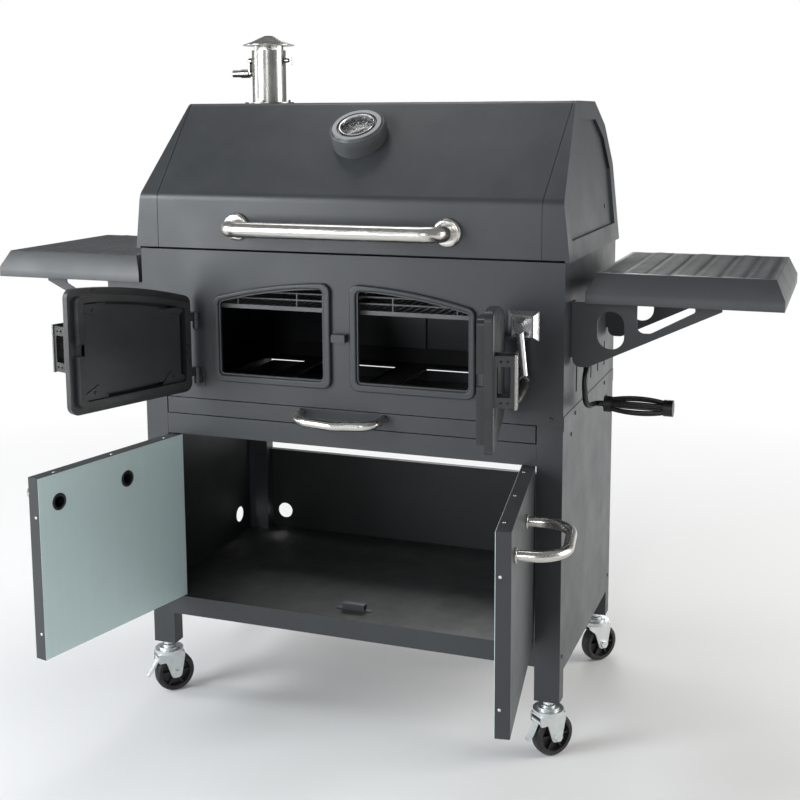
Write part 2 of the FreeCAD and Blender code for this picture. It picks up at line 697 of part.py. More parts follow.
def lid_middle(grow=0.0):
    """The stretch of the lid between the two end caps."""
    low = LID_SEAM_LOW + grow
    high = LID_SEAM_TOP + grow
    half = [(low, LID_BOTTOM - 10), (low, LID_KNEE[1]), (high, LID_TOP), (high, LID_TOP + 10)]
    return plate(half + [(-x, z) for x, z in reversed(half)], "y", -260, 260)


def lid_seam():
    """Shallow groove over the joint between the sheet and its end caps."""
    band = lid_middle(LID_SEAM_HALF_WIDTH).cut(lid_middle(-LID_SEAM_HALF_WIDTH))
    return band.common(lid_bulk(0).cut(lid_bulk(LID_SEAM_DEPTH)))


def lid_shell():
    y, z = LID_HINGE
    parts = [lid_sheet().common(lid_middle()).cut(lid_seam())]
    for x in (-LID_HINGE_X, LID_HINGE_X):
        parts.append(rod((x - 10.5, y, z), (x + 10.5, y, z), 5))
        parts.append(block((x - 10.5, x + 10.5), (214.6, y), (z, z + 5)))
    shell = fuse(parts)
    for x in (-LID_HINGE_X, LID_HINGE_X):
        shell = shell.cut(rod((x - 12, y, z), (x + 12, y, z), 2.5 + RUNNING_GAP))
    flue = rod((CHIMNEY[0], CHIMNEY[1], LID_TOP - 10), (CHIMNEY[0], CHIMNEY[1], LID_TOP + 10),
               CHIMNEY_RADIUS - CHIMNEY_WALL)
    base, up = thermometer_place()
    probe = rod(tuple(base - up * 10), tuple(base + up * 5), 4)
    return shell.cut(flue).cut(probe)


def lid_end(side):
    """End cap: a band of the bent sheet and a pressed end wall with a sunk field."""
    band = lid_sheet().cut(lid_middle()).common(block((0, 420), (-260, 260), (860, 1150)))
    wall = lid_bulk(0).common(lid_between(0, LID_END_DEPTH + 2))
    field = plate(LID_PROFILE, "x", 300, 420, 33)
    wall = wall.cut(field.common(lid_between(-20, LID_END_DEPTH)))
    behind_border = lid_bulk(SHEET).common(lid_between(2, LID_END_DEPTH + 3))
    wall = wall.cut(behind_border.cut(plate(LID_PROFILE, "x", 300, 420, 31)))
    wall = wall.cut(lid_sheet().common(lid_middle()))
    cap = fuse([band, wall]).cut(lid_seam()).cut(block((300, 420), (126, 134), (936, 944)))
    return cap if side > 0 else mirrored(cap)


def lid_handle():
    """Stainless tube with a rosette under each end."""
    face = LID_PROFILE[0][0]
    x, z = LID_HANDLE_HALF, LID_HANDLE_Z
    out = face - LID_HANDLE_STAND_OFF
    tube = bent_rod([(-x, face, z), (-x, out, z), (x, out, z), (x, face, z)], LID_HANDLE_RADIUS, 30)
    rosettes = []
    for side in SIDES:
        rosette = rod((side * x, face, z), (side * x, face - 9, z), 25)
        outer = edges_at(rosette, lambda e: e.isClosed() and e.BoundBox.YMax < face - 8.9)
        rosettes.append(rosette.makeFillet(6, outer))
    return fuse([tube] + rosettes)


def thermometer_place():
    """Foot of the dial's axis on the lid, and the axis, which leans up from square to the sheet."""
    knee = V(0, *LID_KNEE)
    slope = (V(0, *LID_SLOPE_END) - knee).normalize()
    square = slope.cross(V(1, 0, 0)) * -1
    up = FreeCAD.Rotation(V(1, 0, 0), -THERMOMETER_TILT).multVec(square)
    return knee + slope * THERMOMETER_UP_SLOPE, up


def on_thermometer(shape):
    base, up = thermometer_place()
    stand = FreeCAD.Placement(base, FreeCAD.Rotation(V(0, 0, 1), up))
    copy = shape.copy()
    copy.Placement = stand.multiply(copy.Placement)
    return copy


def thermometer_housing():
    r, h = THERMOMETER_RADIUS, THERMOMETER_HEIGHT
    cup = lathe([(0, -14), (r, -14), (r, 12), (r - 1.5, h - 3.5), (r - 3, h - 2), (r - 5, h - 3.5),
                 (r - 7, h), (DIAL_RADIUS + 5, h), (DIAL_RADIUS + 3.5, h - 4), (DIAL_RADIUS + 0.5, h - 4),
                 (DIAL_RADIUS + 0.5, 10), (0, 10)])
    probe = on_thermometer(rod((0, 0, -45), (0, 0, 2), 4))
    return on_thermometer(cup).cut(lid_bulk(0)).fuse(probe)


def thermometer_dial():
    disc = rod((0, 0, 10), (0, 0, 13), DIAL_RADIUS)
    pivot = rod((0, 0, 13), (0, 0, 18), 1.5)
    return on_thermometer(disc.fuse(pivot))


def thermometer_needle():
    blade = plate([(-2.4, -2.2), (2.4, -2.2), (0.6, 26), (-0.6, 26)], "z", 14.2, 15.2)
    tail = plate([(-2, -12), (2, -12), (1.6, 0), (-1.6, 0)], "z", 14.2, 15.2)
    hub = rod((0, 0, 14.2), (0, 0, 17), 4)
    needle = fuse([blade, tail, hub]).cut(rod((0, 0, 13), (0, 0, 18), 1.5 + RUNNING_GAP))
    return on_thermometer(turned(needle, (0, 0, 0), (0, 0, 1), 128))


def thermometer_glass():
    return on_thermometer(rod((0, 0, 21), (0, 0, 23.5), DIAL_RADIUS + 0.3))


# ---- Chimney
def chimney_tube():
    x, y = CHIMNEY
    inner = CHIMNEY_RADIUS - CHIMNEY_WALL
    tube = ring((x, y, LID_TOP), (x, y, CHIMNEY_CAP_Z[0] + 4), CHIMNEY_RADIUS, inner)
    for angle in (0, 90):
        window = block((-50, 50), (-19, 19), (CHIMNEY_TUBE_TOP, CHIMNEY_CAP_Z[0] + 5))
        window = turned(window, (0, 0, 0), (0, 0, 1), angle + 20)
        window.translate(V(x, y, 0))
        tube = tube.cut(window)
    flange = ring((x, y, LID_TOP), (x, y, LID_TOP + 3), 48, inner)
    bolts = []
    for i in range(3):
        angle = math.radians(30 + 120 * i)
        centre = (x + 41 * math.cos(angle), y + 41 * math.sin(angle), LID_TOP + 3)
        bolts.append(hexagon(centre, (0, 0, 1), 8, 4))
    tube = fuse([tube, flange] + bolts)
    shaft_hole = rod((x - 50, y, DAMPER_Z), (x + 50, y, DAMPER_Z), DAMPER_SHAFT_RADIUS + RUNNING_GAP)
    return tube.cut(shaft_hole)


def chimney_cap():
    """Shallow domed rain cap that sits on the four posts of the tube."""
    low, high = CHIMNEY_CAP_Z
    return lathe([
        (CHIMNEY_RADIUS - 0.5, low + 5.2), (CHIMNEY_CAP_RADIUS, low), (CHIMNEY_CAP_RADIUS, low + 1.5),
        (34, low + 7), (20, low + 13.5), (8, high), (0, high), (0, high - 2), (7.5, high - 2),
        (19, low + 11.5), (CHIMNEY_RADIUS - 3, low + 5.2),
    ], (*CHIMNEY, 0))


def damper():
    """Flap on a shaft across the chimney, with a hanging arm, a knob and a wing nut."""
    x, y = CHIMNEY
    z = DAMPER_Z
    parts = [
        rod((x - 46, y, z), (x + 46, y, z), DAMPER_SHAFT_RADIUS),
        rod((x, y - 0.75, z), (x, y + 0.75, z), CHIMNEY_RADIUS - CHIMNEY_WALL - 1),
        rod((x - 43, y, z), (x - 36, y, z), 6),
        block((x - 43, x - 40), (y - 6, y + 6), (z - 26, z)),
        rod((x - 43, y, z - 24), (x - 37, y, z - 24), 6),
        rod((x - 43, y, z - 24), (x - 60, y, z - 24), 8.5),
        rod((x - 60, y, z - 24), (x - 78, y, z - 24), 7),
        rod((x + 35, y, z), (x + 43, y, z), 4.5),
        block((x + 37, x + 49), (y - 1.2, y + 1.2), (z - 9, z + 9)),
    ]
    return fuse(parts)


# ---- Fire doors, modelled closed on the right and then mirrored and swung open
def swing_fire_door(shape, side):
    x, y = FIRE_HINGE
    opened = turned(shape, (x, y, 0), (0, 0, 1), FIRE_DOOR_OPEN[side])
    return opened if side > 0 else mirrored(opened)


def fire_door(side):
    """Cast door: a flange, a raised rim on its inner side, hinge knuckles and handle cheeks."""
    outer_face = FIRE_DOOR_BACK - FIRE_DOOR_THICKNESS
    flange_back = outer_face + FIRE_DOOR_FLANGE
    body = arched_slab(FIRE_DOOR_OUTLINE, (outer_face, flange_back), 16)
    outer_edges = edges_at(body, lambda e: e.BoundBox.YMax < outer_face + 0.01)
    body = body.makeFillet(4, outer_edges)
    rim = arched_slab(FIRE_DOOR_OUTLINE, (flange_back - 1, FIRE_DOOR_BACK), 10, FIRE_DOOR_RIM_INSET)
    inside = FIRE_DOOR_RIM_INSET + FIRE_DOOR_RIM_WIDTH
    hollow = arched_slab(FIRE_DOOR_OUTLINE, (flange_back - 6, FIRE_DOOR_BACK + 1), 6, inside)
    parts = [fuse([body, rim]).cut(hollow)]
    free_edge = FIRE_DOOR_OUTLINE[0]
    notch = block((free_edge - 1, free_edge + 34), (FIRE_DOOR_BACK - 10, FIRE_DOOR_BACK + 1),
                  (CATCH_Z - 10, CATCH_Z + 10))
    x, y = FIRE_HINGE
    for z in FIRE_HINGE_HEIGHTS:
        parts.append(rod((x, y, z + 0.4), (x, y, z + 16), 6))
        parts.append(block((x - 14, x), (flange_back - 8, y), (z + 0.4, z + 16)))
    for cheek_x in (free_edge + 3, free_edge + 31):
        parts.append(fire_door_cheek(cheek_x, outer_face))
    door = fuse(parts).cut(notch)
    for z in FIRE_HINGE_HEIGHTS:
        door = door.cut(rod((x, y, z), (x, y, z + 17), 3 + RUNNING_GAP))
    return swing_fire_door(door, side)


def fire_door_cheek(x, outer_face):
    half = GRIP_HEIGHT / 2
    out = outer_face - GRIP_STAND_OFF
    cheek = block((x, x + 3), (out, outer_face + 1), (CATCH_Z - half, CATCH_Z + half))
    cheek = cheek.cut(block((x, x + 3), (out + 6, outer_face - 4), (CATCH_Z - 23, CATCH_Z + 23)))
    for z in (CATCH_Z - 31, CATCH_Z + 31):
        for y in (out + 10, out + 20):
            cheek = cheek.cut(rod((x - 1, y, z), (x + 4, y, z), 2))
    return cheek


def fire_door_grip(side):
    """Stainless strip across the two cheeks of the handle."""
    out = FIRE_DOOR_BACK - FIRE_DOOR_THICKNESS - GRIP_STAND_OFF
    x = FIRE_DOOR_OUTLINE[0]
    half = GRIP_HEIGHT / 2 + 2
    strip = block((x + 1, x + 36), (out - 4, out), (CATCH_Z - half, CATCH_Z + half))
    rounded = edges_at(strip, lambda e: e.BoundBox.YMax < out - 3.9)
    return swing_fire_door(strip.makeFillet(1.5, rounded), side)


def fire_door_baffle(side):
    """Heat baffle inside the rim, held by four corner ears with bolts."""
    inside = FIRE_DOOR_RIM_INSET + FIRE_DOOR_RIM_WIDTH
    low = FIRE_DOOR_BACK - FIRE_DOOR_THICKNESS + FIRE_DOOR_FLANGE
    sheet = arched_slab(FIRE_DOOR_OUTLINE, (low + 2, low + 4), 5, inside + 6)
    seat = low - 6
    parts = [sheet]
    x_near, x_far, foot, _ = FIRE_DOOR_OUTLINE
    ear_limit = arched_slab(FIRE_DOOR_OUTLINE, (seat, low + 8), 5, inside + 0.5)
    for corner_x, inward in ((x_near + inside, 1), (x_far - inside, -1)):
        for z_side in SIDES:
            top = 772.0 if inward < 0 else 800.0
            corner_z = foot + inside if z_side < 0 else top
            ear = plate([
                (corner_x, corner_z), (corner_x + inward * 52, corner_z),
                (corner_x + inward * 30, corner_z - z_side * 24), (corner_x, corner_z - z_side * 10),
            ], "y", low + 4, low + 6.5)
            parts.append(ear.common(ear_limit))
            bolt_x = corner_x + inward * 24
            bolt_z = corner_z - z_side * 12
            parts.append(rod((bolt_x, seat, bolt_z), (bolt_x, low + 9, bolt_z), 3.5))
    return swing_fire_door(fuse(parts), side)


# ---- Cabinet doors, modelled closed on the right and then mirrored and swung open
def swing_cabinet_door(shape, side):
    x, y = CABINET_HINGE
    opened = turned(shape, (x, y, 0), (0, 0, 1), CABINET_DOOR_OPEN[side])
    return opened if side > 0 else mirrored(opened)


def cabinet_door(side):
    """Folded pan: a face sheet and four rims."""
    x_near, x_far, low, high = CABINET_DOOR
    depth = (FRONT, FRONT + CABINET_DOOR_THICKNESS - 1)
    pan = block((x_near, x_far), depth, (low, high))
    pan = pan.cut(block((x_near + SHEET, x_far - SHEET), (FRONT + SHEET, depth[1] + 1),
                        (low + SHEET, high - SHEET)))
    upright = edges_at(pan, lambda e: e.BoundBox.YMax < FRONT + 0.01)
    pan = pan.makeFillet(1.2, upright)
    x, y = CABINET_HINGE
    pan = pan.cut(rod((x, y, low - 1), (x, y, high + 1), CABINET_PIN_RADIUS + RUNNING_GAP))
    for handle_x in CABINET_HANDLE_X:
        pan = pan.cut(rod((handle_x, FRONT - 1, CABINET_HANDLE_Z),
                          (handle_x, FRONT + 3, CABINET_HANDLE_Z), 3))
    return swing_cabinet_door(pan, side)


def cabinet_door_liner(side):
    """Galvanised sheet that closes the pan, with two holes to reach the handle screws."""
    x_near, x_far, low, high = CABINET_DOOR
    back = FRONT + CABINET_DOOR_THICKNESS
    liner = block((x_near + 0.5, x_far - 0.5), (back - 1, back), (low + 0.5, high - 0.5))
    for handle_x in CABINET_HANDLE_X:
        access = rod((handle_x, back - 2, CABINET_HANDLE_Z), (handle_x, back + 1, CABINET_HANDLE_Z), 12.5)
        liner = liner.cut(access)
    return swing_cabinet_door(liner, side)


def cabinet_door_handle(side):
    near, far = CABINET_HANDLE_X
    z = CABINET_HANDLE_Z
    out = FRONT - CABINET_HANDLE_STAND_OFF
    parts = [bent_rod([(near, FRONT, z), (near, out, z), (far, out, z), (far, FRONT, z)], 8.5, 50)]
    for x in (near, far):
        parts.append(rod((x, FRONT, z), (x, FRONT - 3, z), 12))
        parts.append(rod((x, FRONT - 1, z), (x, FRONT + SHEET, z), 3))
        parts.append(rod((x, FRONT + SHEET, z), (x, FRONT + SHEET + 4, z), 5.5))
    return swing_cabinet_door(fuse(parts), side)


# ---- Ash drawer
def ash_drawer():
    low, high = DRAWER_Z
    wall = 1.2
    front = block((-DRAWER_HALF_WIDTH, DRAWER_HALF_WIDTH), (FRONT, FRONT + SHEET), (low, high))
    fold = block((-DRAWER_HALF_WIDTH, DRAWER_HALF_WIDTH), (FRONT, FRONT + 6), (high - SHEET, high))
    box_z = (RAIL_TOP + 3, 587.0)
    box = block((-335, 335), (FRONT + 1, DRAWER_BACK), box_z)
    box = box.cut(block((-335 + wall, 335 - wall), (FRONT + SHEET, DRAWER_BACK - wall),
                        (box_z[0] + wall, 600)))
    return fuse([front, fold, box])


def ash_drawer_handle():
    x = DRAWER_HANDLE_HALF
    z = sum(DRAWER_Z) / 2
    out = FRONT - 44
    bar = bent_rod([(-x, FRONT, z + 5), (-x + 8, out, z + 1), (0, out - 6, z - 2),
                    (x - 8, out, z + 1), (x, FRONT, z + 5)], 8.5, 30)
    return bar.cut(block((-x - 20, x + 20), (FRONT, FRONT + 20), (z - 20, z + 20)))


# ---- Side shelves
def shelf_bulk(inset):
    def rectangle(bounds, z):
        x0, x1, y0, y1 = bounds
        return outline([(x0 + inset, y0 + inset), (x1 - inset, y0 + inset),
                        (x1 - inset, y1 - inset), (x0 + inset, y1 - inset)], "z", z)
    low, skirt, top = SIDE_SHELF_Z
    sections = [rectangle(SIDE_SHELF_SKIRT, skirt), rectangle(SIDE_SHELF_TOP, top - inset)]
    slope = Part.makeLoft(sections, True, True)
    x0, x1, y0, y1 = SIDE_SHELF_SKIRT
    band = block((x0 + inset, x1 - inset), (y0 + inset, y1 - inset), (low - inset, skirt))
    return fuse([slope, band])


def side_shelf(side):
    shelf = shelf_bulk(0).cut(shelf_bulk(SHEET))
    return shelf if side > 0 else mirrored(shelf)


def shelf_bracket(y_middle):
    """Pressed bracket with a wall flange, a long hole and a three-cornered hole."""
    y = (y_middle - BRACKET_THICKNESS / 2, y_middle + BRACKET_THICKNESS / 2)
    web = plate([(402, 799), (402, 688, 14), (428, 688, 18), (647, 793), (647, 799)], "y", *y)
    tongue = block((446, 640), y, (790, SIDE_SHELF_Z[2] - SHEET))
    flange = block((HALF_WIDTH, HALF_WIDTH + 3), (y[0], y[0] + 24), (704, 799))
    bracket = fuse([web, tongue, flange])
    long_hole = plate([(444, 721, 22), (489, 721, 22), (489, 785, 22), (444, 785, 22)],
                      "y", y[0] - 1, y[1] + 1)
    corner_hole = plate([(510, 751, 12), (532, 751, 16), (604, 790, 5), (604, 797, 2), (510, 797, 2)],
                        "y", y[0] - 1, y[1] + 1)
    return bracket.cut(long_hole).cut(corner_hole)


def shelf_brackets():
    right = [shelf_bracket(y) for y in BRACKET_Y]
    return Part.makeCompound(right + [mirrored(bracket) for bracket in right])


# ---- Casters, modelled about their stem with the wheel trailing along +X
def place_caster(shape, x_side, y_side):
    copy = turned(shape, (0, 0, 0), (0, 0, 1), CASTER_TURN)
    copy.translate(V(x_side * CASTER_POSITION[0], y_side * CASTER_POSITION[1], 0))
    return copy


def caster_stem():
    """Threaded stem with a head under the fork and a nut against the leg."""
    nut = hexagon((0, 0, LEG_BOTTOM - 8), (0, 0, 1), 17, 8)
    upper_nut = hexagon((0, 0, LEG_BOTTOM + 3), (0, 0, 1), 17, 7)
    head = rod((0, 0, 77), (0, 0, 78.2), 8)
    return fuse([head, rod((0, 0, 77), (0, 0, LEG_BOTTOM + 14), STEM_RADIUS), nut, upper_nut])


def caster_stems():
    stem = caster_stem()
    return Part.makeCompound([place_caster(stem, x_side, y_side) for x_side in SIDES for y_side in SIDES])


def caster_fork(braked):
    """Two cheeks, a crown with its bearing race and the axle bolt; a braked one has its pedal's pin."""
    inner = WHEEL_WIDTH / 2 + 1.5
    outer = inner + 2.5
    cheek_points = [(-26, 81, 3), (-26, 75, 3), (-12, 64, 14), (CASTER_TRAIL - 9, WHEEL_RADIUS - 9, 8),
                    (CASTER_TRAIL + 9, WHEEL_RADIUS - 9, 8), (26, 70, 12), (26, 81, 3)]
    parts = [block((-26, 26), (-outer, outer), (78.5, 81))]
    for side in SIDES:
        parts.append(plate(cheek_points, "y", *sorted((side * inner, side * outer))))
    parts.append(rod((0, 0, 81), (0, 0, 88), 27))
    parts.append(rod((0, 0, 88), (0, 0, 92), 19))
    parts.append(rod((0, 0, 92), (0, 0, 95), 12))
    axle_z = WHEEL_RADIUS
    parts.append(rod((CASTER_TRAIL, -outer - 4, axle_z), (CASTER_TRAIL, outer + 4, axle_z), AXLE_RADIUS))
    parts.append(hexagon((CASTER_TRAIL, outer, axle_z), (0, 1, 0), 13, 5))
    parts.append(hexagon((CASTER_TRAIL, -outer, axle_z), (0, -1, 0), 13, 5))
    if braked:
        x, z = PEDAL_PIVOT
        parts.append(rod((x, -outer - 1, z), (x, outer + 1, z), PEDAL_PIN_RADIUS))
        for side in SIDES:
            parts.append(plate([(x - 5, z - 5, 4), (x + 14, z - 5, 2), (x + 14, 80, 0), (x - 4, 80, 0)],
                               "y", *sorted((side * inner, side * outer))))
    fork = fuse(parts)
    return fork.cut(rod((0, 0, 70), (0, 0, 96), STEM_RADIUS + RUNNING_GAP))


def caster_wheel():
    """Rubber tread round a hub whose two faces are hollowed between six ribs."""
    half = WHEEL_WIDTH / 2
    r = WHEEL_RADIUS
    web = 2.5
    profile = [(AXLE_RADIUS + RUNNING_GAP, -half), (10, -half), (11, -web), (26, -web),
               (28, -half + 1), (r - 4, -half + 1), (r - 1, -half + 4), (r, -half + 8),
               (r, half - 8), (r - 1, half - 4), (r - 4, half - 1), (28, half - 1),
               (26, web), (11, web), (10, half),
               (AXLE_RADIUS + RUNNING_GAP, half)]
    rib = block((9, 28), (-1.5, 1.5), (-half + 4, half - 4))
    ribs = [turned(rib, (0, 0, 0), (0, 0, 1), 60 * i) for i in range(6)]
    wheel = turned(fuse([lathe(profile)] + ribs), (0, 0, 0), (1, 0, 0), 90)
    wheel.translate(V(CASTER_TRAIL, 0, WHEEL_RADIUS))
    return wheel


def brake_pedal():
    """Short foot tab that hangs outside the tread from a pin between the fork's cheeks."""
    x, z = PEDAL_PIVOT
    half = WHEEL_WIDTH / 2 + 1.2
    arm = plate([(x - 1, z + 3), (x - 2, z - 2), (x - 12, z - 21), (x - 22, z - 31), (x - 24, z - 29),
                 (x - 15, z - 18)], "y", -6, 6)
    pedal = fuse([arm, rod((x, -half, z), (x, half, z), 3.6)])
    return pedal.cut(rod((x, -half - 1, z), (x, half + 1, z), PEDAL_PIN_RADIUS + RUNNING_GAP))


# ---- Write every sub-part
def caster_nodes():
    names = {(-1, -1): "front_left", (1, -1): "front_right", (-1, 1): "rear_left", (1, 1): "rear_right"}
    wheel = caster_wheel()
    pedal = brake_pedal()
    nodes = {}
    for place, name in names.items():
        braked = place[1] < 0
        nodes["caster_fork_" + name] = place_caster(caster_fork(braked), *place)
        nodes["caster_wheel_" + name] = place_caster(wheel, *place)
        if braked:
            nodes["brake_pedal_" + name] = place_caster(pedal, *place)
    return nodes


def paired_nodes():
    makers = {
        "side_panel": side_panel,
        "firebox_side": firebox_side,
        "side_shelf": side_shelf,
        "lid_end": lid_end,
        "fire_door": fire_door,
        "fire_door_baffle": fire_door_baffle,
        "fire_door_grip": fire_door_grip,
        "cabinet_door": cabinet_door,
        "cabinet_door_liner": cabinet_door_liner,
        "cabinet_door_handle": cabinet_door_handle,
    }
    nodes = {}
    for name, make in makers.items():
        nodes[name + "_left"] = make(-1)
        nodes[name + "_right"] = make(1)
    return nodes


def single_nodes():
    makers = (
        legs, rear_panel, bottom_shelf, cross_rails,
        firebox_front, firebox_rear, firebox_floor, inner_ledges, cooking_grates, charcoal_tray,
        door_hardware, cart_screws, crank_bezel, crank,
        vent_shutter, vent_lever, vent_lever_grip,
        lid_shell, lid_handle,
        thermometer_housing, thermometer_dial, thermometer_needle, thermometer_glass,
        chimney_tube, chimney_cap, damper,
        ash_drawer, ash_drawer_handle,
        shelf_brackets, caster_stems,
    )
    return {make.__name__: make() for make in makers}


def middle_of(nodes):
    box = FreeCAD.BoundBox()
    for shape in nodes.values():
        box.add(shape.optimalBoundingBox(False))
    return -(box.YMin + box.YMax) / 2


def export():
    nodes = {**single_nodes(), **paired_nodes(), **caster_nodes()}
    y_shift = middle_of(nodes)
    os.makedirs("parts", exist_ok=True)
    for name, shape in nodes.items():
        shape.translate(V(0, y_shift, 0))
        shape.exportStep("parts/" + name + ".step")
    print(len(nodes), "sub-parts; everything moved along Y by", round(y_shift, 3))
    return y_shift, nodes


if __name__ == "__main__":
    export()
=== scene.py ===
import json
import math

import bmesh
import bpy
from mathutils import Matrix, Vector


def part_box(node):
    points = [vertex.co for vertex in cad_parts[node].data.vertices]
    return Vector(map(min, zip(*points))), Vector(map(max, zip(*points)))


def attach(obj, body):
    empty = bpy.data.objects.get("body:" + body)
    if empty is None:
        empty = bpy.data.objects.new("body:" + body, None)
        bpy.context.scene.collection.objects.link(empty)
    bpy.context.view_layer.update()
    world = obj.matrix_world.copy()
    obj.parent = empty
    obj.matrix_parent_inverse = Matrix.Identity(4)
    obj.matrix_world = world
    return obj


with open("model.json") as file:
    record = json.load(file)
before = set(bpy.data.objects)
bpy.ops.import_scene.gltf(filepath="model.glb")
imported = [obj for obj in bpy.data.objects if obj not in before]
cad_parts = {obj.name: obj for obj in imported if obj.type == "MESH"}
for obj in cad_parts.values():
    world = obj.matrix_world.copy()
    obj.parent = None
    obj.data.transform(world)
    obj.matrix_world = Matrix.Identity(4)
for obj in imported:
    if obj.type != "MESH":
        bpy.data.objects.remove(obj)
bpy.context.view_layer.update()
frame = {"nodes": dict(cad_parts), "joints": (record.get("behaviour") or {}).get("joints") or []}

# Looks of the charcoal grill cart. Metres; X runs across the cart, -Y is its front, +Z is up.
# The CAD nodes carry the shapes. This script gives each one its finish, softens its sheet edges
# and adds the small pressed, riveted and printed details.

MM = 0.001
JOINTS = {joint["name"]: joint for joint in frame["joints"]}
SIDES = {"left": -1, "right": 1}

# ---- Places that the details are set out from
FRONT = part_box("cross_rails")[0].y
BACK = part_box("cross_rails")[1].y
CRANK_KNUCKLE_REACH = 0.036

# ---- Cabinet doors, set out closed, with X measured outward from the cart's middle
DOOR_X = (0.002, 0.352)
DOOR_Z = (0.205, 0.521)
DOOR_RIM = 0.024
RIM_RIVET_INSET = 0.016
SIDE_RIVETS_FROM_ENDS = (0.045, 0.068)
EDGE_RIVET_SHARES = (0.12, 0.5, 0.88)
LINER_HOLES_X = (0.046, 0.205)
LINER_HOLE_Z = 0.471

# ---- Flat tops of the side shelves
SHELF_TOP_X = (0.442, 0.730)
SHELF_TOP_HALF_DEPTH = 0.171
SHELF_TOP_Z = 0.850

# ---- Rivets, sleeves and shelf treads, in millimetres
RIVET_RADIUS = 2.6
RIVET_HEIGHT = 1.1
LINER_HOLE_RADIUS = 12.5
TREAD_COLUMNS = 7
TREAD_ROWS = 21
TREAD_MARGIN_X = 6.0
TREAD_MARGIN_Y = 8.0
TREAD_OVERLAP = 2.0
TREAD_WAVE = 3.0
TREAD_STEPS = 12
TREAD_FOOT = 3.6
TREAD_CREST = 1.8
TREAD_HEIGHT = 1.5

# ---- Thermometer, heights in millimetres above its foot on the lid. A tick is its inner reach, as a
# share of the dial's radius, and half its width
DIAL_MARKS = 15
DIAL_SWEEP = 256.0
DIAL_FACE_HEIGHT = 13.0
HOUSING_HEIGHT = 27.0
INK_HEIGHT = DIAL_FACE_HEIGHT + 0.15
DIAL_FIRST_NUMBER = 50
DIAL_NUMBER_SIZE = 8.0
DIAL_NUMBER_REACH = 0.50
TICK_OUTER_REACH = 0.92
LONG_TICK = (0.70, 0.9)
SHORT_TICK = (0.80, 0.55)

# ---- Studio
FLOOR_RADIUS = 40.0
FLOOR_FADE = (0.7, 2.6)
BACKDROP_RADIUS = 39.0
BACKDROP_LIGHT = 1.0
ROOM_LIGHT = 0.30
CART_MIDDLE = (0, 0, 0.65)
CART_LEFT_OF_MIDDLE = (-0.2, 0.0, 0.8)
COOL = (0.93, 0.97, 1.0)
WARM = (1.0, 0.975, 0.93)

# ---- Camera at the reference viewing angle
CAMERA_PLACE = (0.8501, FRONT - 2.0057, 1.1109)
CAMERA_YAW = 0.353
CAMERA_PITCH = 0.146
CAMERA_ROLL = -0.005
CAMERA_LENS = 56.4
CAMERA_SHIFT_Y = -0.1254


# ---- Node helpers
def nodes_of(material):
    tree = material.node_tree
    shader = tree.nodes["Principled BSDF"]
    return tree, shader


def new_material(name, color, roughness, metallic=0.0, **sockets):
    material = bpy.data.materials.new(name)
    material.use_nodes = True
    _, shader = nodes_of(material)
    shader.inputs["Base Color"].default_value = (*color, 1)
    shader.inputs["Roughness"].default_value = roughness
    shader.inputs["Metallic"].default_value = metallic
    for socket, value in sockets.items():
        shader.inputs[socket.replace("_", " ")].default_value = value
    material.diffuse_color = (*color, 1)
    return material


def object_place(tree, stretch=(1, 1, 1)):
    """Place on the piece in metres, stretched to draw a grain out along an axis."""
    place = tree.nodes.new("ShaderNodeTexCoord")
    mapping = tree.nodes.new("ShaderNodeMapping")
    mapping.inputs["Scale"].default_value = stretch
    tree.links.new(place.outputs["Object"], mapping.inputs["Vector"])
    return mapping.outputs["Vector"]


def noise(tree, place, scale, detail=3.0, roughness=0.5):
    node = tree.nodes.new("ShaderNodeTexNoise")
    node.inputs["Scale"].default_value = scale
    node.inputs["Detail"].default_value = detail
    node.inputs["Roughness"].default_value = roughness
    tree.links.new(place, node.inputs["Vector"])
    return node.outputs["Fac"]


def spread(tree, value, low, high, start=0.3, end=0.7):
    """Maps start..end of a pattern to low..high."""
    node = tree.nodes.new("ShaderNodeMapRange")
    node.inputs["From Min"].default_value = start
    node.inputs["From Max"].default_value = end
    node.inputs["To Min"].default_value = low
    node.inputs["To Max"].default_value = high
    tree.links.new(value, node.inputs["Value"])
    return node.outputs["Result"]


def blend_colors(tree, share, first, second):
    """Colour between two: each is a colour or the output of another blend."""
    node = tree.nodes.new("ShaderNodeMix")
    node.data_type = "RGBA"
    tree.links.new(share, node.inputs["Factor"])
    for socket, color in (("A", first), ("B", second)):
        target = next(s for s in node.inputs if s.name == socket and s.type == "RGBA")
        if isinstance(color, tuple):
            target.default_value = (*color, 1)
        else:
            tree.links.new(color, target)
    return next(s for s in node.outputs if s.type == "RGBA")


def together(tree, operation, first, second):
    """One sum of two patterns, or of a pattern and a number."""
    node = tree.nodes.new("ShaderNodeMath")
    node.operation = operation
    for i, value in enumerate((first, second)):
        if isinstance(value, float):
            node.inputs[i].default_value = value
        else:
            tree.links.new(value, node.inputs[i])
    return node.outputs["Value"]


def add_bump(tree, shader, height, strength, distance):
    """Bumps stack: each new one starts from the normal that the last one left."""
    node = tree.nodes.new("ShaderNodeBump")
    node.inputs["Strength"].default_value = strength
    node.inputs["Distance"].default_value = distance
    tree.links.new(height, node.inputs["Height"])
    normal = shader.inputs["Normal"]
    if normal.is_linked:
        tree.links.new(normal.links[0].from_socket, node.inputs["Normal"])
    tree.links.new(node.outputs["Normal"], normal)


def upward(tree):
    """1 on faces that look up, 0 on upright and hanging ones."""
    geometry = tree.nodes.new("ShaderNodeTexCoord")
    split = tree.nodes.new("ShaderNodeSeparateXYZ")
    tree.links.new(geometry.outputs["Normal"], split.inputs["Vector"])
    return spread(tree, split.outputs["Z"], 0.0, 1.0, 0.5, 1.0)


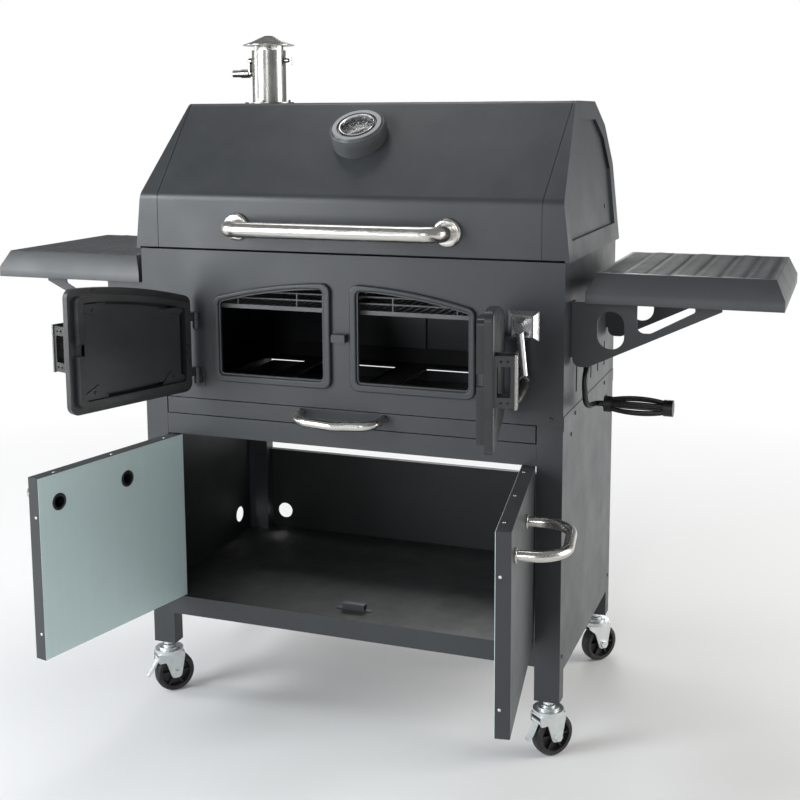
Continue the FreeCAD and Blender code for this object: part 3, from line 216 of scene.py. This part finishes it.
# ---- Finishes
def coated(name, dark, light, roughness, peel=0.10, dust=0.12):
    """Powder coat: two close greys, fine orange peel, slow waves in the sheet and a little dust on top."""
    material = new_material(name, dark, roughness, Specular_IOR_Level=0.5)
    tree, shader = nodes_of(material)
    place = object_place(tree)
    cloud = noise(tree, place, 5.0, 4.0, 0.6)
    speck = noise(tree, place, 1100.0, 2.0)
    color = blend_colors(tree, spread(tree, cloud, 0.0, 1.0), dark, light)
    speck_color = tuple(min(1.0, 1.7 * c + 0.01) for c in light)
    color = blend_colors(tree, spread(tree, speck, 0.0, 0.35, 0.55, 0.75), color, speck_color)
    dust_cloud = noise(tree, place, 24.0, 5.0, 0.65)
    dust_share = together(tree, "MULTIPLY", spread(tree, dust_cloud, 0.2, 1.0), upward(tree))
    dust_share = together(tree, "MULTIPLY", dust_share, dust)
    color = blend_colors(tree, dust_share, color, (0.24, 0.24, 0.225))
    tree.links.new(color, shader.inputs["Base Color"])
    rub = noise(tree, place, 11.0, 5.0, 0.6)
    tree.links.new(spread(tree, rub, roughness - 0.05, roughness + 0.07), shader.inputs["Roughness"])
    add_bump(tree, shader, noise(tree, place, 3.2, 2.0), 0.10, 0.012)
    add_bump(tree, shader, noise(tree, place, 620.0, 3.0), peel, 0.0004)
    return material


def cast(name, dark, light, roughness, grain=0.35):
    """Painted casting: a pebbled skin with soft low spots."""
    material = new_material(name, dark, roughness, Specular_IOR_Level=0.5)
    tree, shader = nodes_of(material)
    place = object_place(tree)
    color = blend_colors(tree, spread(tree, noise(tree, place, 14.0, 5.0), 0.0, 1.0), dark, light)
    tree.links.new(color, shader.inputs["Base Color"])
    patches = noise(tree, place, 30.0, 4.0)
    tree.links.new(spread(tree, patches, roughness - 0.08, roughness + 0.1), shader.inputs["Roughness"])
    add_bump(tree, shader, noise(tree, place, 90.0, 3.0), 0.12, 0.0015)
    add_bump(tree, shader, noise(tree, place, 520.0, 4.0, 0.65), grain, 0.0005)
    return material


def brushed(name, color, roughness, along, streak=0.10, anisotropic=0.4, metallic=1.0, dulling=0.18):
    """Metal brushed along one axis: fine streaks in roughness, tone and height."""
    material = new_material(name, color, roughness, metallic, Anisotropic=anisotropic)
    tree, shader = nodes_of(material)
    lines = object_place(tree, tuple(0.02 if axis == along else 1.0 for axis in "xyz"))
    grain = noise(tree, lines, 1500.0, 2.0)
    bands = noise(tree, lines, 260.0, 3.0)
    stain = noise(tree, object_place(tree), 18.0, 4.0, 0.6)
    dull = tuple((1 - dulling) * c for c in color)
    tone = blend_colors(tree, spread(tree, bands, 0.0, 0.6), color, dull)
    warm = (0.90 * color[0], 0.87 * color[1], 0.83 * color[2])
    tone = blend_colors(tree, spread(tree, stain, 0.0, 0.25, 0.5, 0.8), tone, warm)
    tree.links.new(tone, shader.inputs["Base Color"])
    rough = spread(tree, grain, roughness - streak / 2, roughness + streak)
    rough = together(tree, "ADD", rough, spread(tree, stain, -0.03, 0.05))
    tree.links.new(rough, shader.inputs["Roughness"])
    add_bump(tree, shader, grain, 0.04, 0.0001)
    return material


def plated(name, color, roughness, spangle=60.0):
    """Zinc or chrome plate: faint crystal patches and a slightly uneven shine."""
    material = new_material(name, color, roughness, 1.0)
    tree, shader = nodes_of(material)
    place = object_place(tree)
    cells = tree.nodes.new("ShaderNodeTexVoronoi")
    cells.inputs["Scale"].default_value = spangle
    tree.links.new(place, cells.inputs["Vector"])
    split = tree.nodes.new("ShaderNodeSeparateColor")
    tree.links.new(cells.outputs["Color"], split.inputs["Color"])
    patch = split.outputs["Red"]
    dull = tuple(0.93 * c for c in color)
    tone = blend_colors(tree, patch, color, dull)
    tree.links.new(tone, shader.inputs["Base Color"])
    haze = noise(tree, place, 45.0, 4.0, 0.6)
    rough = together(tree, "ADD", spread(tree, haze, roughness - 0.05, roughness + 0.08),
                     spread(tree, patch, -0.01, 0.015, 0.0, 1.0))
    tree.links.new(rough, shader.inputs["Roughness"])
    add_bump(tree, shader, haze, 0.04, 0.0006)
    return material


def rubber(name, color, roughness):
    material = new_material(name, color, roughness, Specular_IOR_Level=0.4)
    tree, shader = nodes_of(material)
    place = object_place(tree)
    scuff = noise(tree, place, 70.0, 5.0, 0.7)
    gray = tuple(2.6 * c + 0.02 for c in color)
    tone = blend_colors(tree, spread(tree, scuff, 0.0, 0.45, 0.5, 0.75), color, gray)
    tree.links.new(tone, shader.inputs["Base Color"])
    tree.links.new(spread(tree, scuff, roughness - 0.08, roughness + 0.12), shader.inputs["Roughness"])
    add_bump(tree, shader, noise(tree, place, 700.0, 3.0), 0.25, 0.0004)
    return material


def enamel(name, dark, light, roughness):
    """Black enamel near the fire: blotches of pale ash on whatever looks up."""
    material = new_material(name, dark, roughness, Specular_IOR_Level=0.35)
    tree, shader = nodes_of(material)
    place = object_place(tree)
    blotch = noise(tree, place, 20.0, 6.0, 0.7)
    ash = together(tree, "MULTIPLY", spread(tree, blotch, 0.0, 0.35, 0.45, 0.8), upward(tree))
    tone = blend_colors(tree, spread(tree, noise(tree, place, 6.0), 0.0, 1.0), dark, light)
    tone = blend_colors(tree, ash, tone, (0.16, 0.155, 0.15))
    tree.links.new(tone, shader.inputs["Base Color"])
    tree.links.new(spread(tree, blotch, roughness - 0.1, roughness + 0.12), shader.inputs["Roughness"])
    add_bump(tree, shader, noise(tree, place, 340.0, 4.0), 0.3, 0.0006)
    return material


def glazing(name):
    """Clear dial glass with a faint smear in its gloss."""
    material = new_material(name, (1.0, 1.0, 1.0), 0.04, Transmission_Weight=1.0, IOR=1.08)
    tree, shader = nodes_of(material)
    smear = noise(tree, object_place(tree), 60.0, 4.0)
    tree.links.new(spread(tree, smear, 0.02, 0.09), shader.inputs["Roughness"])
    return material


def printed(name, color):
    """Printed dial ink with a slightly worn edge."""
    material = new_material(name, color, 0.5)
    tree, shader = nodes_of(material)
    wear = noise(tree, object_place(tree), 900.0, 3.0)
    worn = tuple(0.7 * c for c in color)
    tone = blend_colors(tree, spread(tree, wear, 0.0, 0.5, 0.5, 0.8), color, worn)
    tree.links.new(tone, shader.inputs["Base Color"])
    return material


POWDER = coated("powder_coat", (0.020, 0.0225, 0.026), (0.027, 0.030, 0.034), 0.38)
LID_POWDER = coated("powder_coat_lid", (0.021, 0.024, 0.0275), (0.029, 0.032, 0.036), 0.36)
SHELF_POWDER = coated("powder_coat_shelf", (0.030, 0.0325, 0.035), (0.041, 0.044, 0.047), 0.40)
# Darker, duller copy of the powder coat: painted shade for the inner faces of the cabinet.
PAINTED_SHADE_POWDER = coated("powder_coat_painted_shade", (0.006, 0.007, 0.008), (0.011, 0.012, 0.013), 0.50)
CAST = cast("cast_black", (0.013, 0.014, 0.0155), (0.021, 0.0225, 0.0245), 0.34)
BAFFLE = coated("baffle_steel", (0.013, 0.015, 0.017), (0.020, 0.022, 0.025), 0.32)
ENAMEL = enamel("inner_enamel", (0.005, 0.005, 0.006), (0.010, 0.010, 0.010), 0.65)
GRATE = cast("grate_enamel", (0.050, 0.051, 0.053), (0.085, 0.086, 0.088), 0.34, 0.2)
STAINLESS = brushed("stainless", (0.60, 0.58, 0.55), 0.20, "x")
# Stainless brushed along the upright, in a darker copy of the stainless: painted shade that tones down the
# reflections on the chimney, damper and door grips.
STAINLESS_UP_PAINTED_SHADE = brushed("stainless_upright_painted_shade", (0.30, 0.297, 0.285), 0.22, "z")
CHROME = plated("chrome", (0.60, 0.60, 0.61), 0.24, 25.0)
ZINC = plated("zinc", (0.66, 0.69, 0.69), 0.40, 90.0)
GALVANISED = brushed("galvanised", (0.57, 0.69, 0.69), 0.42, "z",
                     streak=0.02, anisotropic=0.0, metallic=0.35, dulling=0.04)
WHEEL = rubber("wheel_rubber", (0.012, 0.012, 0.012), 0.45)
GRIP = rubber("grip_plastic", (0.008, 0.008, 0.009), 0.36)
BEZEL = coated("thermometer_black", (0.050, 0.054, 0.057), (0.062, 0.066, 0.069), 0.34)
BEZEL_GRAY = coated("thermometer_gray", (0.17, 0.18, 0.185), (0.22, 0.23, 0.235), 0.38)
DIAL = coated("dial_face", (0.020, 0.021, 0.024), (0.030, 0.031, 0.034), 0.45)
INK = printed("dial_ink", (0.62, 0.62, 0.60))
NEEDLE = printed("needle_paint", (0.72, 0.70, 0.66))
GLASS = glazing("dial_glass")

NODE_FINISH = {
    "lid_shell": LID_POWDER, "lid_end_left": LID_POWDER, "lid_end_right": LID_POWDER,
    "side_shelf_left": SHELF_POWDER, "side_shelf_right": SHELF_POWDER,
    "fire_door_left": CAST, "fire_door_right": CAST,
    "fire_door_baffle_left": BAFFLE, "fire_door_baffle_right": BAFFLE,
    "charcoal_tray": ENAMEL, "firebox_floor": ENAMEL, "inner_ledges": ENAMEL, "vent_shutter": ENAMEL,
    "cooking_grates": GRATE,
    "lid_handle": STAINLESS, "ash_drawer_handle": STAINLESS,
    "cabinet_door_handle_left": STAINLESS, "cabinet_door_handle_right": STAINLESS,
    "chimney_tube": STAINLESS_UP_PAINTED_SHADE, "chimney_cap": STAINLESS_UP_PAINTED_SHADE, "damper": STAINLESS_UP_PAINTED_SHADE,
    "fire_door_grip_left": STAINLESS_UP_PAINTED_SHADE, "fire_door_grip_right": STAINLESS_UP_PAINTED_SHADE,
    "crank_bezel": CHROME, "crank": CHROME,
    "caster_stems": ZINC, "cart_screws": CAST, "vent_lever": GRIP,
    "cabinet_door_liner_left": GALVANISED, "cabinet_door_liner_right": GALVANISED,
    "vent_lever_grip": GRIP,
    "thermometer_housing": BEZEL, "thermometer_dial": DIAL,
    "thermometer_needle": NEEDLE, "thermometer_glass": GLASS,
}
PREFIX_FINISH = {"caster_fork": ZINC, "brake_pedal": ZINC, "caster_wheel": WHEEL}
EDGE_WIDTH = {
    "lid_shell": 1.3, "lid_end": 1.3, "side_shelf": 1.6, "legs": 1.6, "cabinet_door_l": 0.9,
    "cabinet_door_r": 0.9, "fire_door_left": 1.2, "fire_door_right": 1.2, "thermometer_glass": 0.0,
    "cart_screws": 0.0, "thermometer_needle": 0.0, "cooking_grates": 0.4, "chimney_cap": 0.2,
}
DEFAULT_EDGE = 0.5


def finish_of(name):
    if name in NODE_FINISH:
        return NODE_FINISH[name]
    for prefix, material in PREFIX_FINISH.items():
        if name.startswith(prefix):
            return material
    return POWDER


def edge_of(name):
    for prefix, width in EDGE_WIDTH.items():
        if name.startswith(prefix):
            return width * MM
    return DEFAULT_EDGE * MM


def soften(node, width):
    """Rounds a CAD node's sharp edges as its coat or its rolled edge does."""
    mesh = node.data
    if "custom_normal" in mesh.attributes:
        mesh.attributes.remove(mesh.attributes["custom_normal"])
    mesh.shade_smooth()
    weld = node.modifiers.new("weld", "WELD")
    weld.merge_threshold = 0.00001
    flats = node.modifiers.new("flats", "DECIMATE")
    flats.decimate_type = "DISSOLVE"
    flats.angle_limit = math.radians(0.4)
    bevel = node.modifiers.new("edges", "BEVEL")
    bevel.width = width
    bevel.segments = 2
    bevel.limit_method = "ANGLE"
    bevel.angle_limit = math.radians(30)
    bevel.harden_normals = False
    normals = node.modifiers.new("normals", "WEIGHTED_NORMAL")
    normals.keep_sharp = False


def dress_nodes():
    for name, node in frame["nodes"].items():
        node.data.materials.clear()
        node.data.materials.append(finish_of(name))
        width = edge_of(name)
        if width > 0:
            soften(node, width)


def black_grip_on_crank():
    """The crank's grip is a black sleeve in front of the arm's knuckle."""
    mesh = frame["nodes"]["crank"].data
    mesh.materials.append(GRIP)
    sleeve_start = FRONT - CRANK_KNUCKLE_REACH
    for face in mesh.polygons:
        if min(mesh.vertices[i].co.y for i in face.vertices) < sleeve_start:
            face.material_index = 1


def painted_shade_in_cabinet():
    """Inside the cabinet the coat is painted darker and duller: painted shade where the cabinet's inner
    faces lie in shade.
    """
    inward = {
        "rear_panel": Vector((0, -1, 0)), "bottom_shelf": Vector((0, 0, 1)),
        "side_panel_left": Vector((1, 0, 0)), "side_panel_right": Vector((-1, 0, 0)),
    }
    for name, direction in inward.items():
        mesh = frame["nodes"][name].data
        mesh.materials.append(PAINTED_SHADE_POWDER)
        for face in mesh.polygons:
            if face.normal.dot(direction) > 0.9:
                face.material_index = 1


# ---- Mesh helpers
def facing(place, axis):
    """Matrix that stands a shape drawn about Z on a place, looking along an axis."""
    turn = Vector(axis).to_track_quat("Z", "Y").to_matrix().to_4x4()
    return Matrix.Translation(Vector(place)) @ turn


def lathe(bm, profile, stand, segments=24):
    """Turned shape from (radius, height) points, in millimetres."""
    rings = []
    for radius, height in profile:
        count = 1 if radius == 0 else segments
        ring = []
        for i in range(count):
            angle = 2 * math.pi * i / segments
            point = Vector((radius * math.cos(angle), radius * math.sin(angle), height)) * MM
            ring.append(bm.verts.new(stand @ point))
        rings.append(ring)
    for low, high in zip(rings, rings[1:]):
        for i in range(segments):
            corners = [low[i % len(low)], low[(i + 1) % len(low)],
                       high[(i + 1) % len(high)], high[i % len(high)]]
            unique = list(dict.fromkeys(corners))
            if len(unique) > 2:
                bm.faces.new(unique)


def ribbon(bm, spine, stand, foot, crest, height):
    """Raised bar along a flat spine of (x, y, share of full width) points, in millimetres."""
    rows = []
    for i, (x, y, share) in enumerate(spine):
        before = Vector(spine[max(i - 1, 0)][:2])
        after = Vector(spine[min(i + 1, len(spine) - 1)][:2])
        along = (after - before).normalized()
        across = Vector((-along.y, along.x))
        row = []
        section = ((-foot, 0), (-crest, 0.8 * height), (0, height), (crest, 0.8 * height), (foot, 0))
        for reach, z in section:
            point = Vector((x, y)) + across * reach * share
            row.append(bm.verts.new(stand @ (Vector((point.x, point.y, z * share)) * MM)))
        rows.append(row)
    for first, second in zip(rows, rows[1:]):
        for a in range(len(section) - 1):
            bm.faces.new((first[a], second[a], second[a + 1], first[a + 1]))
    bm.faces.new(rows[0])
    bm.faces.new(list(reversed(rows[-1])))


def add_piece(name, bm, material, body, smooth=True):
    bmesh.ops.recalc_face_normals(bm, faces=bm.faces)
    mesh = bpy.data.meshes.new(name)
    bm.to_mesh(mesh)
    bm.free()
    if smooth:
        mesh.shade_smooth()
        mesh.set_sharp_from_angle(angle=math.radians(40))
    mesh.materials.append(material)
    piece = bpy.data.objects.new(name, mesh)
    bpy.context.scene.collection.objects.link(piece)
    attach(piece, body)
    return piece


def rivet_profile(radius, height):
    """Domed head with a small dimple."""
    r, h = radius, height
    dome = [(r, 0), (r, 0.25 * h), (0.85 * r, 0.7 * h), (0.5 * r, h)]
    return dome + [(0.3 * r, h), (0.2 * r, 0.85 * h), (0, 0.8 * h)]


def hung(joint_name):
    """Matrix that carries a detail set out on a closed door to where the door stands at rest."""
    joint = JOINTS[joint_name]
    pivot = Matrix.Translation(Vector(joint["pos_m"]))
    swing = Matrix.Rotation(-math.radians(joint["range_deg"][1]), 4, Vector(joint["axis"]))
    return pivot @ swing @ pivot.inverted()


# ---- Details
def tread_spine(length):
    """One wave along X that thins out at both ends."""
    spine = []
    for i in range(TREAD_STEPS + 1):
        share = i / TREAD_STEPS
        taper = min(1.0, 4 * share + 0.25, 4 * (1 - share) + 0.25)
        spine.append(((share - 0.5) * length, TREAD_WAVE * math.sin(2 * math.pi * share), taper))
    return spine


def shelf_treads(side_name, side):
    """Columns of short wavy treads pressed up from a side shelf's top."""
    width = (SHELF_TOP_X[1] - SHELF_TOP_X[0]) / MM - 2 * TREAD_MARGIN_X
    depth = 2 * SHELF_TOP_HALF_DEPTH / MM - 2 * TREAD_MARGIN_Y
    pitch_x = width / TREAD_COLUMNS
    pitch_y = depth / TREAD_ROWS
    middle_y = (FRONT + BACK) / 2
    start_x = SHELF_TOP_X[0] / MM + TREAD_MARGIN_X
    spine = tread_spine(pitch_x + TREAD_OVERLAP)
    bm = bmesh.new()
    for column in range(TREAD_COLUMNS):
        for row in range(TREAD_ROWS):
            x = start_x + (column + 0.5) * pitch_x
            y = -depth / 2 + (row + 0.25 + 0.5 * (column % 2)) * pitch_y
            stand = Matrix.Translation(Vector((side * x * MM, middle_y + y * MM, SHELF_TOP_Z)))
            ribbon(bm, spine, stand, TREAD_FOOT, TREAD_CREST, TREAD_HEIGHT)
    add_piece("shelf_treads_" + side_name, bm, SHELF_POWDER, "cart")


def door_rivets(side_name, side):
    """Rivets round the rim of a cabinet door: two on each upright side, three above and below."""
    swing = hung("cabinet_door_%s_hinge" % side_name)
    low, high = DOOR_Z
    near, far = DOOR_X
    rim_y = FRONT + RIM_RIVET_INSET
    heads = []
    for z in (low + SIDE_RIVETS_FROM_ENDS[0], high - SIDE_RIVETS_FROM_ENDS[1]):
        heads.append(((side * near, rim_y, z), (-side, 0, 0)))
        heads.append(((side * far, rim_y, z), (side, 0, 0)))
    for share in EDGE_RIVET_SHARES:
        x = side * (near + share * (far - near))
        heads.append(((x, rim_y, high), (0, 0, 1)))
        heads.append(((x, rim_y, low), (0, 0, -1)))
    bm = bmesh.new()
    for place, axis in heads:
        lathe(bm, rivet_profile(RIVET_RADIUS, RIVET_HEIGHT), swing @ facing(place, axis), 16)
    add_piece("door_rivets_" + side_name, bm, ZINC, "cabinet_door_" + side_name)


def liner_sleeves(side_name, side):
    """Black sleeves in the two holes of a cabinet door's liner."""
    swing = hung("cabinet_door_%s_hinge" % side_name)
    r = LINER_HOLE_RADIUS
    sleeve = [(r - 2.6, -14), (r - 2.6, 1.4), (r - 1.6, 2.0),
              (r + 1.0, 2.0), (r + 2.2, 0.9), (r + 2.3, 0.0)]
    bm = bmesh.new()
    for x in LINER_HOLES_X:
        place = (side * x, FRONT + DOOR_RIM, LINER_HOLE_Z)
        lathe(bm, sleeve, swing @ facing(place, (0, 1, 0)), 40)
    add_piece("liner_sleeves_" + side_name, bm, GRIP, "cabinet_door_" + side_name)


def thermometer_stand():
    """Matrix of the dial: Z along its axis, X to the right."""
    joint = JOINTS["needle_turn"]
    out = -Vector(joint["axis"])
    right = Vector((1, 0, 0))
    up_dial = out.cross(right)
    turn = Matrix((right, up_dial, out)).transposed().to_4x4()
    return Matrix.Translation(Vector(joint["pos_m"])) @ turn


def dial_radius():
    """Radius of the dial in millimetres."""
    low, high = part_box("thermometer_dial")
    return (high.x - low.x) / 2 / MM


def dial_angle(share):
    """Angle of a reading from straight up, clockwise."""
    return math.radians((share - 0.5) * DIAL_SWEEP)


def dial_ticks():
    """Ticks round the scale, longer at every second one."""
    stand = thermometer_stand()
    radius = dial_radius()
    bm = bmesh.new()
    for i in range(DIAL_MARKS):
        angle = dial_angle(i / (DIAL_MARKS - 1))
        inner, half = LONG_TICK if i % 2 == 0 else SHORT_TICK
        tick = []
        for reach, edge in ((inner, -1), (inner, 1), (TICK_OUTER_REACH, 1), (TICK_OUTER_REACH, -1)):
            x = radius * reach * math.sin(angle) + edge * half * math.cos(angle)
            y = radius * reach * math.cos(angle) - edge * half * math.sin(angle)
            tick.append(bm.verts.new(stand @ (Vector((x, y, INK_HEIGHT)) * MM)))
        bm.faces.new(tick)
    add_piece("dial_ticks", bm, INK, "lid", False)


def dial_numbers():
    """Plain numbers inside the long ticks."""
    stand = thermometer_stand()
    reach = DIAL_NUMBER_REACH * dial_radius()
    bm = bmesh.new()
    for i in range(0, DIAL_MARKS, 2):
        angle = dial_angle(i / (DIAL_MARKS - 1))
        text = bpy.data.curves.new("number", "FONT")
        text.body = str(DIAL_FIRST_NUMBER * (i // 2 + 1))
        text.size = DIAL_NUMBER_SIZE * MM
        text.align_x = "CENTER"
        text.align_y = "CENTER"
        holder = bpy.data.objects.new("number", text)
        mesh = bpy.data.meshes.new_from_object(holder)
        place = Vector((reach * math.sin(angle), reach * math.cos(angle), INK_HEIGHT))
        mesh.transform(stand @ Matrix.Translation(place * MM))
        bm.from_mesh(mesh)
        bpy.data.objects.remove(holder)
        bpy.data.curves.remove(text)
        bpy.data.meshes.remove(mesh)
    add_piece("dial_numbers", bm, INK, "lid", False)


def gray_ring_on_thermometer():
    """The flat ring on the housing's face is satin grey; the rest of it is black."""
    mesh = frame["nodes"]["thermometer_housing"].data
    mesh.materials.append(BEZEL_GRAY)
    to_dial = thermometer_stand().inverted()
    for face in mesh.polygons:
        if (to_dial @ Vector(face.center)).z > (HOUSING_HEIGHT - 0.2) * MM:
            face.material_index = 1


def thermometer_ring():
    """Chrome ring round the dial."""
    r = dial_radius()
    h = HOUSING_HEIGHT
    profile = [(r - 2.6, h - 9), (r - 2.6, h - 1.5), (r - 1.6, h + 0.6),
               (r - 0.2, h + 0.9), (r + 0.4, h - 0.6), (r + 0.4, h - 9)]
    bm = bmesh.new()
    lathe(bm, profile, thermometer_stand(), 64)
    add_piece("thermometer_chrome_ring", bm, CHROME, "lid")


# ---- Studio
def studio_floor():
    """Pale floor that fades into the white of the studio far from the object."""
    bm = bmesh.new()
    bmesh.ops.create_circle(bm, cap_ends=True, segments=96, radius=FLOOR_RADIUS)
    mesh = bpy.data.meshes.new("studio_floor")
    bm.to_mesh(mesh)
    bm.free()
    floor = bpy.data.objects.new("studio_floor", mesh)
    bpy.context.scene.collection.objects.link(floor)
    material = new_material("studio_floor", (0.86, 0.86, 0.86), 0.7, Specular_IOR_Level=0.2)
    tree, shader = nodes_of(material)
    glow = tree.nodes.new("ShaderNodeEmission")
    glow.inputs["Color"].default_value = (1, 1, 1, 1)
    glow.inputs["Strength"].default_value = BACKDROP_LIGHT
    mix = tree.nodes.new("ShaderNodeMixShader")
    distance = tree.nodes.new("ShaderNodeVectorMath")
    distance.operation = "LENGTH"
    tree.links.new(object_place(tree), distance.inputs[0])
    fade = spread(tree, distance.outputs["Value"], 0.0, 1.0, *FLOOR_FADE)
    tree.links.new(fade, mix.inputs["Fac"])
    tree.links.new(shader.outputs["BSDF"], mix.inputs[1])
    tree.links.new(glow.outputs["Emission"], mix.inputs[2])
    tree.links.new(mix.outputs["Shader"], tree.nodes["Material Output"].inputs["Surface"])
    mesh.materials.append(material)


def studio_backdrop():
    """White shell far outside the lights; it is a background only and lights nothing."""
    bm = bmesh.new()
    bmesh.ops.create_uvsphere(bm, u_segments=48, v_segments=24, radius=BACKDROP_RADIUS)
    mesh = bpy.data.meshes.new("studio_backdrop")
    bm.to_mesh(mesh)
    bm.free()
    shell = bpy.data.objects.new("studio_backdrop", mesh)
    bpy.context.scene.collection.objects.link(shell)
    material = bpy.data.materials.new("studio_backdrop")
    material.use_nodes = True
    tree = material.node_tree
    tree.nodes.clear()
    glow = tree.nodes.new("ShaderNodeEmission")
    glow.inputs["Strength"].default_value = BACKDROP_LIGHT
    output = tree.nodes.new("ShaderNodeOutputMaterial")
    tree.links.new(glow.outputs["Emission"], output.inputs["Surface"])
    mesh.materials.append(material)
    shell.visible_diffuse = False
    shell.visible_glossy = False
    shell.visible_transmission = False
    shell.visible_shadow = False


def soft_box(name, place, size, power, aim=CART_MIDDLE, tint=(1, 1, 1)):
    """Rectangular lamp that faces a place on the cart."""
    light = bpy.data.lights.new(name, "AREA")
    light.shape = "RECTANGLE"
    light.size, light.size_y = size
    light.energy = power
    light.color = tint
    lamp = bpy.data.objects.new(name, light)
    lamp.location = place
    lamp.rotation_euler = (Vector(aim) - Vector(place)).to_track_quat("-Z", "Y").to_euler()
    bpy.context.scene.collection.objects.link(lamp)


def studio_lights():
    world = bpy.data.worlds.new("studio")
    world.use_nodes = True
    background = world.node_tree.nodes["Background"]
    background.inputs["Color"].default_value = (0.96, 0.98, 1.0, 1)
    background.inputs["Strength"].default_value = ROOM_LIGHT
    bpy.context.scene.world = world
    soft_box("key", (-2.0, -2.1, 1.9), (1.2, 1.0), 55, CART_LEFT_OF_MIDDLE, COOL)
    soft_box("front_wall", (-2.7, -3.6, 0.9), (2.4, 1.9), 85, CART_LEFT_OF_MIDDLE, COOL)
    soft_box("top", (-0.6, 0.9, 3.4), (1.6, 1.0), 18)
    soft_box("right_wall", (3.4, 0.9, 1.2), (2.0, 2.4), 100, tint=WARM)
    soft_box("front_strip", (0.6, -4.4, 1.9), (0.5, 2.0), 30)
    soft_box("left_strip", (-3.6, -0.6, 1.3), (0.8, 2.2), 50)
    soft_box("rear", (-0.6, 3.6, 2.2), (1.6, 1.0), 28)


def camera():
    """Camera at the reference viewing angle."""
    data = bpy.data.cameras.new("camera")
    data.lens = CAMERA_LENS
    data.sensor_width = 36
    data.shift_y = CAMERA_SHIFT_Y
    data.clip_end = 200
    ahead = Vector((-math.sin(CAMERA_YAW) * math.cos(CAMERA_PITCH),
                    math.cos(CAMERA_YAW) * math.cos(CAMERA_PITCH), -math.sin(CAMERA_PITCH)))
    right = Vector((math.cos(CAMERA_YAW), math.sin(CAMERA_YAW), 0))
    up = right.cross(ahead)
    tilted_right = right * math.cos(CAMERA_ROLL) + up * math.sin(CAMERA_ROLL)
    tilted_up = up * math.cos(CAMERA_ROLL) - right * math.sin(CAMERA_ROLL)
    turn = Matrix((tilted_right, tilted_up, -ahead)).transposed().to_4x4()
    holder = bpy.data.objects.new("camera", data)
    holder.matrix_world = Matrix.Translation(Vector(CAMERA_PLACE)) @ turn
    bpy.context.scene.collection.objects.link(holder)
    bpy.context.scene.camera = holder


dress_nodes()
black_grip_on_crank()
painted_shade_in_cabinet()
for side_name, side in SIDES.items():
    shelf_treads(side_name, side)
    door_rivets(side_name, side)
    liner_sleeves(side_name, side)
dial_ticks()
dial_numbers()
thermometer_ring()
gray_ring_on_thermometer()
studio_floor()
studio_backdrop()
studio_lights()
camera()
bpy.context.scene.view_settings.view_transform = "Standard"
